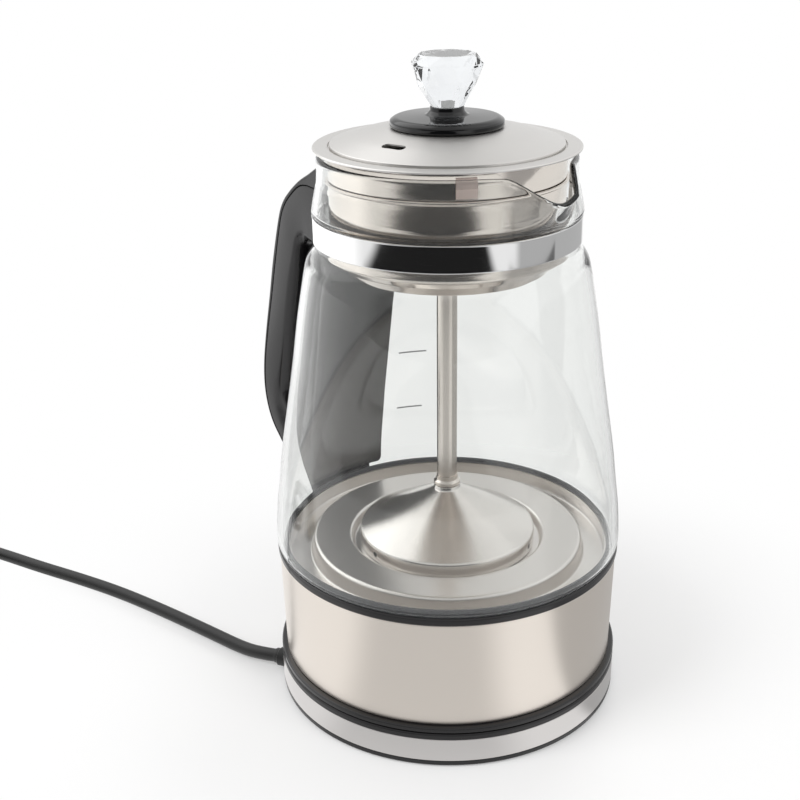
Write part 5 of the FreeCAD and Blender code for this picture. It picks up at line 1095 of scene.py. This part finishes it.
class TEAMAKER_OT_stage(bpy.types.Operator):
    """Set up the pale floor, the studio light and the camera"""

    bl_idname = "teamaker.stage"
    bl_label = "Stage"

    def execute(self, context):
        scene = context.scene
        scene.view_settings.view_transform = "Standard"
        self.floor(scene)
        self.room(scene)
        self.lamps(scene)
        self.camera(scene)
        return {"FINISHED"}

    def floor(self, scene):
        """Round pale floor that takes the shadow and fades to white away from the object."""
        corners = [(0.0, 0.0, 0.0)]
        rings = (200, 400, 800, 1600, 4000)
        count = 96
        for radius in rings:
            corners += [round_axis(radius, FULL_TURN * index / count, 0.0) for index in range(count)]
        faces = [[0, 1 + index, 1 + (index + 1) % count] for index in range(count)]
        for ring in range(len(rings) - 1):
            for index in range(count):
                a = 1 + ring * count + index
                b = 1 + ring * count + (index + 1) % count
                faces.append([a, a + count, b + count, b])
        floor = placed_mesh("floor", corners, faces)
        material, tree, shader = new_material("white_painted_table", {
            "Base Color": scene.tea_maker_colours.floor, "Roughness": 0.6, "Specular IOR Level": 0.2})
        place = add_node(tree, "ShaderNodeTexCoord")
        away = add_node(tree, "ShaderNodeVectorMath", operation="LENGTH",
                        links={0: place.outputs["Object"]})
        far = away.outputs["Value"]
        path = add_node(tree, "ShaderNodeLightPath")
        seen = joined(tree, "MAXIMUM", path.outputs["Is Camera Ray"], path.outputs["Is Glossy Ray"],
                      path.outputs["Is Transmission Ray"])
        glossy = mirrored(tree, path)
        share = joined(tree, "MULTIPLY", ramp(tree, far, 0.085, 0.26, 0.25, 1.0), seen)
        share = joined(tree, "MAXIMUM", share, glossy)
        level = self.table_light(tree, place.outputs["Object"], far)
        level = joined(tree, "ADD", joined(tree, "MULTIPLY", level, glossy),
                       joined(tree, "SUBTRACT", 1.0, glossy))
        white = add_node(tree, "ShaderNodeEmission", inputs={"Color": (1, 1, 1, 1)},
                         links={"Strength": level})
        blended(tree, share, shader, white)
        floor.data.materials.append(material)

    def table_light(self, tree, place, far):
        """Brightness of the table in a mirror: it ends in front of the camera, where the studio is dark.

        Distances are in metres from the axis and angles in degrees from the camera's side.
        """
        split, angle = camera_side(tree, place)[1:]
        ahead = split.outputs["X"]
        right = split.outputs["Y"]

        def area(middle, half, soft, *limits):
            """A sector whose strength changes with distance, or stays the same."""
            strength = ramp(tree, far, *limits) if len(limits) > 1 else limits[0]
            return joined(tree, "MULTIPLY", sector(tree, angle, middle, half, soft), strength)

        end_of_table = ramp(tree, far, 0.56, 0.66, 0.0, 1.0)
        front = joined(tree, "MULTIPLY", ramp(tree, right, 0.47, 0.55, 1.0, 0.0),
                       ramp(tree, right, -0.74, -0.64, 0.0, 1.0), ramp(tree, ahead, 0.24, 0.32, 0.0, 1.0),
                       end_of_table)
        near = area(-7.0, 35.0, 11.0, 0.05, 0.12, 0.14, 0.32)
        # A second dark area on the right ends at a slanting line.
        slant = joined(tree, "ADD", joined(tree, "MULTIPLY", ahead, 0.30),
                       joined(tree, "MULTIPLY", right, 0.954))
        wedge = joined(tree, "MULTIPLY", sector(tree, angle, 79.0, 24.0, 3.0),
                       ramp(tree, slant, 0.725, 0.745, 0.85, 0.0), end_of_table)
        wall = area(76.0, 20.0, 8.0, 0.87, 0.95, 0.0, 0.6)
        side = area(110.0, 48.0, 4.0, 0.5)
        lit = area(-118.0, 42.0, 12.0, 0.45, 0.65, 0.0, 0.5)
        dark = joined(tree, "MAXIMUM", front, near, wedge, wall, side)
        level = joined(tree, "ADD", joined(tree, "SUBTRACT", 1.0, dark), lit)
        darkest = 0.015
        return joined(tree, "MAXIMUM", level, darkest)

    def room(self, scene):
        """White room; a dark opening on the camera's side shows in polished metal."""
        world = bpy.data.worlds.new("white_room")
        world.use_nodes = True
        tree = world.node_tree
        tree.nodes.clear()
        way = add_node(tree, "ShaderNodeTexCoord")
        turned, split, angle = camera_side(tree, way.outputs["Generated"])
        up = split.outputs["Z"]
        dark = joined(tree, "MULTIPLY", sector(tree, angle, -6.0, 48.0, 10.0),
                      ramp(tree, up, 0.2, 0.75, 0.98, 0.0))
        level = joined(tree, "MULTIPLY", ramp(tree, up, 0.6, 0.95, 0.95, 0.66),
                       joined(tree, "SUBTRACT", 1.0, dark))
        # Patches of the ceiling: aim, cosine of the half angle, and how much lighter or darker.
        for aim, reach, change in (((-0.35, -0.62, 0.70), 0.86, 0.95), ((-0.15, 0.50, 0.85), 0.92, 0.35),
                                   ((-0.90, -0.30, 0.35), 0.90, -0.10)):
            near = add_node(tree, "ShaderNodeVectorMath", operation="DOT_PRODUCT",
                            inputs={1: aim}, links={0: turned})
            level = joined(tree, "ADD", level,
                           ramp(tree, near.outputs["Value"], reach - 0.03, reach + 0.05, 0.0, change))
        path = add_node(tree, "ShaderNodeLightPath")
        # Camera and transmission rays see plain white, mirrored rays the room with its dark side.
        glossy = mirrored(tree, path)
        room = add_node(tree, "ShaderNodeMix", data_type="FLOAT", inputs={2: 1.0},
                        links={0: glossy, 3: level})
        level = add_node(tree, "ShaderNodeMix", data_type="FLOAT", inputs={3: 0.55},
                         links={0: path.outputs["Is Diffuse Ray"], 2: room.outputs[0]})
        light = add_node(tree, "ShaderNodeBackground", inputs={"Color": (1, 1, 1, 1)},
                         links={"Strength": level.outputs[0]})
        add_node(tree, "ShaderNodeOutputWorld", links={"Surface": light.outputs[0]})
        scene.world = world

    def lamps(self, scene):
        """Large soft key from the upper left, a fill from the right and one from behind."""
        spots = (
            ("key_softbox", (-0.25, -1.10, 1.05), 0.9, 11.0),
            ("fill_softbox", (1.15, 0.10, 0.75), 0.8, 5.0),
            ("back_softbox", (-0.55, 1.00, 0.95), 0.8, 5.0))
        for name, place, size, power in spots:
            lamp = bpy.data.lights.new(name, "AREA")
            lamp.shape = "DISK"
            lamp.size = size
            lamp.energy = power
            made = bpy.data.objects.new(name, lamp)
            made.location = place
            made.visible_glossy = False
            made.visible_transmission = False
            aim = Vector((0.0, 0.0, 0.13)) - Vector(place)
            made.rotation_euler = aim.to_track_quat("-Z", "Y").to_euler()
            scene.collection.objects.link(made)

    def camera(self, scene):
        """Camera at the angle of the photograph."""
        data = bpy.data.cameras.new("camera")
        data.sensor_width = 36.0
        data.lens = 57.74
        data.dof.use_dof = False
        data.clip_start = 0.01
        camera = bpy.data.objects.new("camera", data)
        side = math.radians(CAMERA_SIDE)
        distance = 0.528
        height = 0.357
        aimed_right = math.radians(2.27)
        tilted_down = math.radians(22.5)
        rolled = math.radians(-0.85)
        camera.matrix_world = (
            Matrix.Translation((distance * math.sin(side), -distance * math.cos(side), height))
            @ Matrix.Rotation(side + aimed_right, 4, "Z")
            @ Matrix.Rotation(math.pi / 2 - tilted_down, 4, "X")
            @ Matrix.Rotation(rolled, 4, "Z"))
        scene.collection.objects.link(camera)
        scene.camera = camera


OPERATORS = (
    TEAMAKER_OT_stage,
    TEAMAKER_OT_cord,
    TEAMAKER_OT_power_base,
    TEAMAKER_OT_kettle_foot,
    TEAMAKER_OT_heater,
    TEAMAKER_OT_glass,
    TEAMAKER_OT_neck_band,
    TEAMAKER_OT_handle,
    TEAMAKER_OT_switch,
    TEAMAKER_OT_basket,
    TEAMAKER_OT_lid,
    TEAMAKER_OT_knob,
)


class TEAMAKER_PT_sidebar(bpy.types.Panel):
    """Buttons for every group of pieces"""

    bl_idname = "TEAMAKER_PT_sidebar"
    bl_label = "Tea maker"
    bl_space_type = "VIEW_3D"
    bl_region_type = "UI"
    bl_category = "Tea maker"

    def draw(self, context):
        for operator in OPERATORS:
            self.layout.operator(operator.bl_idname)
        for settings in (context.scene.tea_maker_sizes, context.scene.tea_maker_colours):
            box = self.layout.box()
            for name in settings.__annotations__:
                box.prop(settings, name)


CLASSES = (TeaMakerColours, TeaMakerSizes, *OPERATORS, TEAMAKER_PT_sidebar)


def register():
    """Make the settings, operators and panel known to Blender."""
    for entry in CLASSES:
        bpy.utils.register_class(entry)
    bpy.types.Scene.tea_maker_colours = bpy.props.PointerProperty(type=TeaMakerColours)
    bpy.types.Scene.tea_maker_sizes = bpy.props.PointerProperty(type=TeaMakerSizes)


def unregister():
    """Take them away again."""
    del bpy.types.Scene.tea_maker_sizes
    del bpy.types.Scene.tea_maker_colours
    for entry in reversed(CLASSES):
        bpy.utils.unregister_class(entry)


def main():
    """Build every group of pieces."""
    register()
    for operator in OPERATORS:
        group, name = operator.bl_idname.split(".")
        getattr(getattr(bpy.ops, group), name)()


if __name__ == "__main__":
    main()
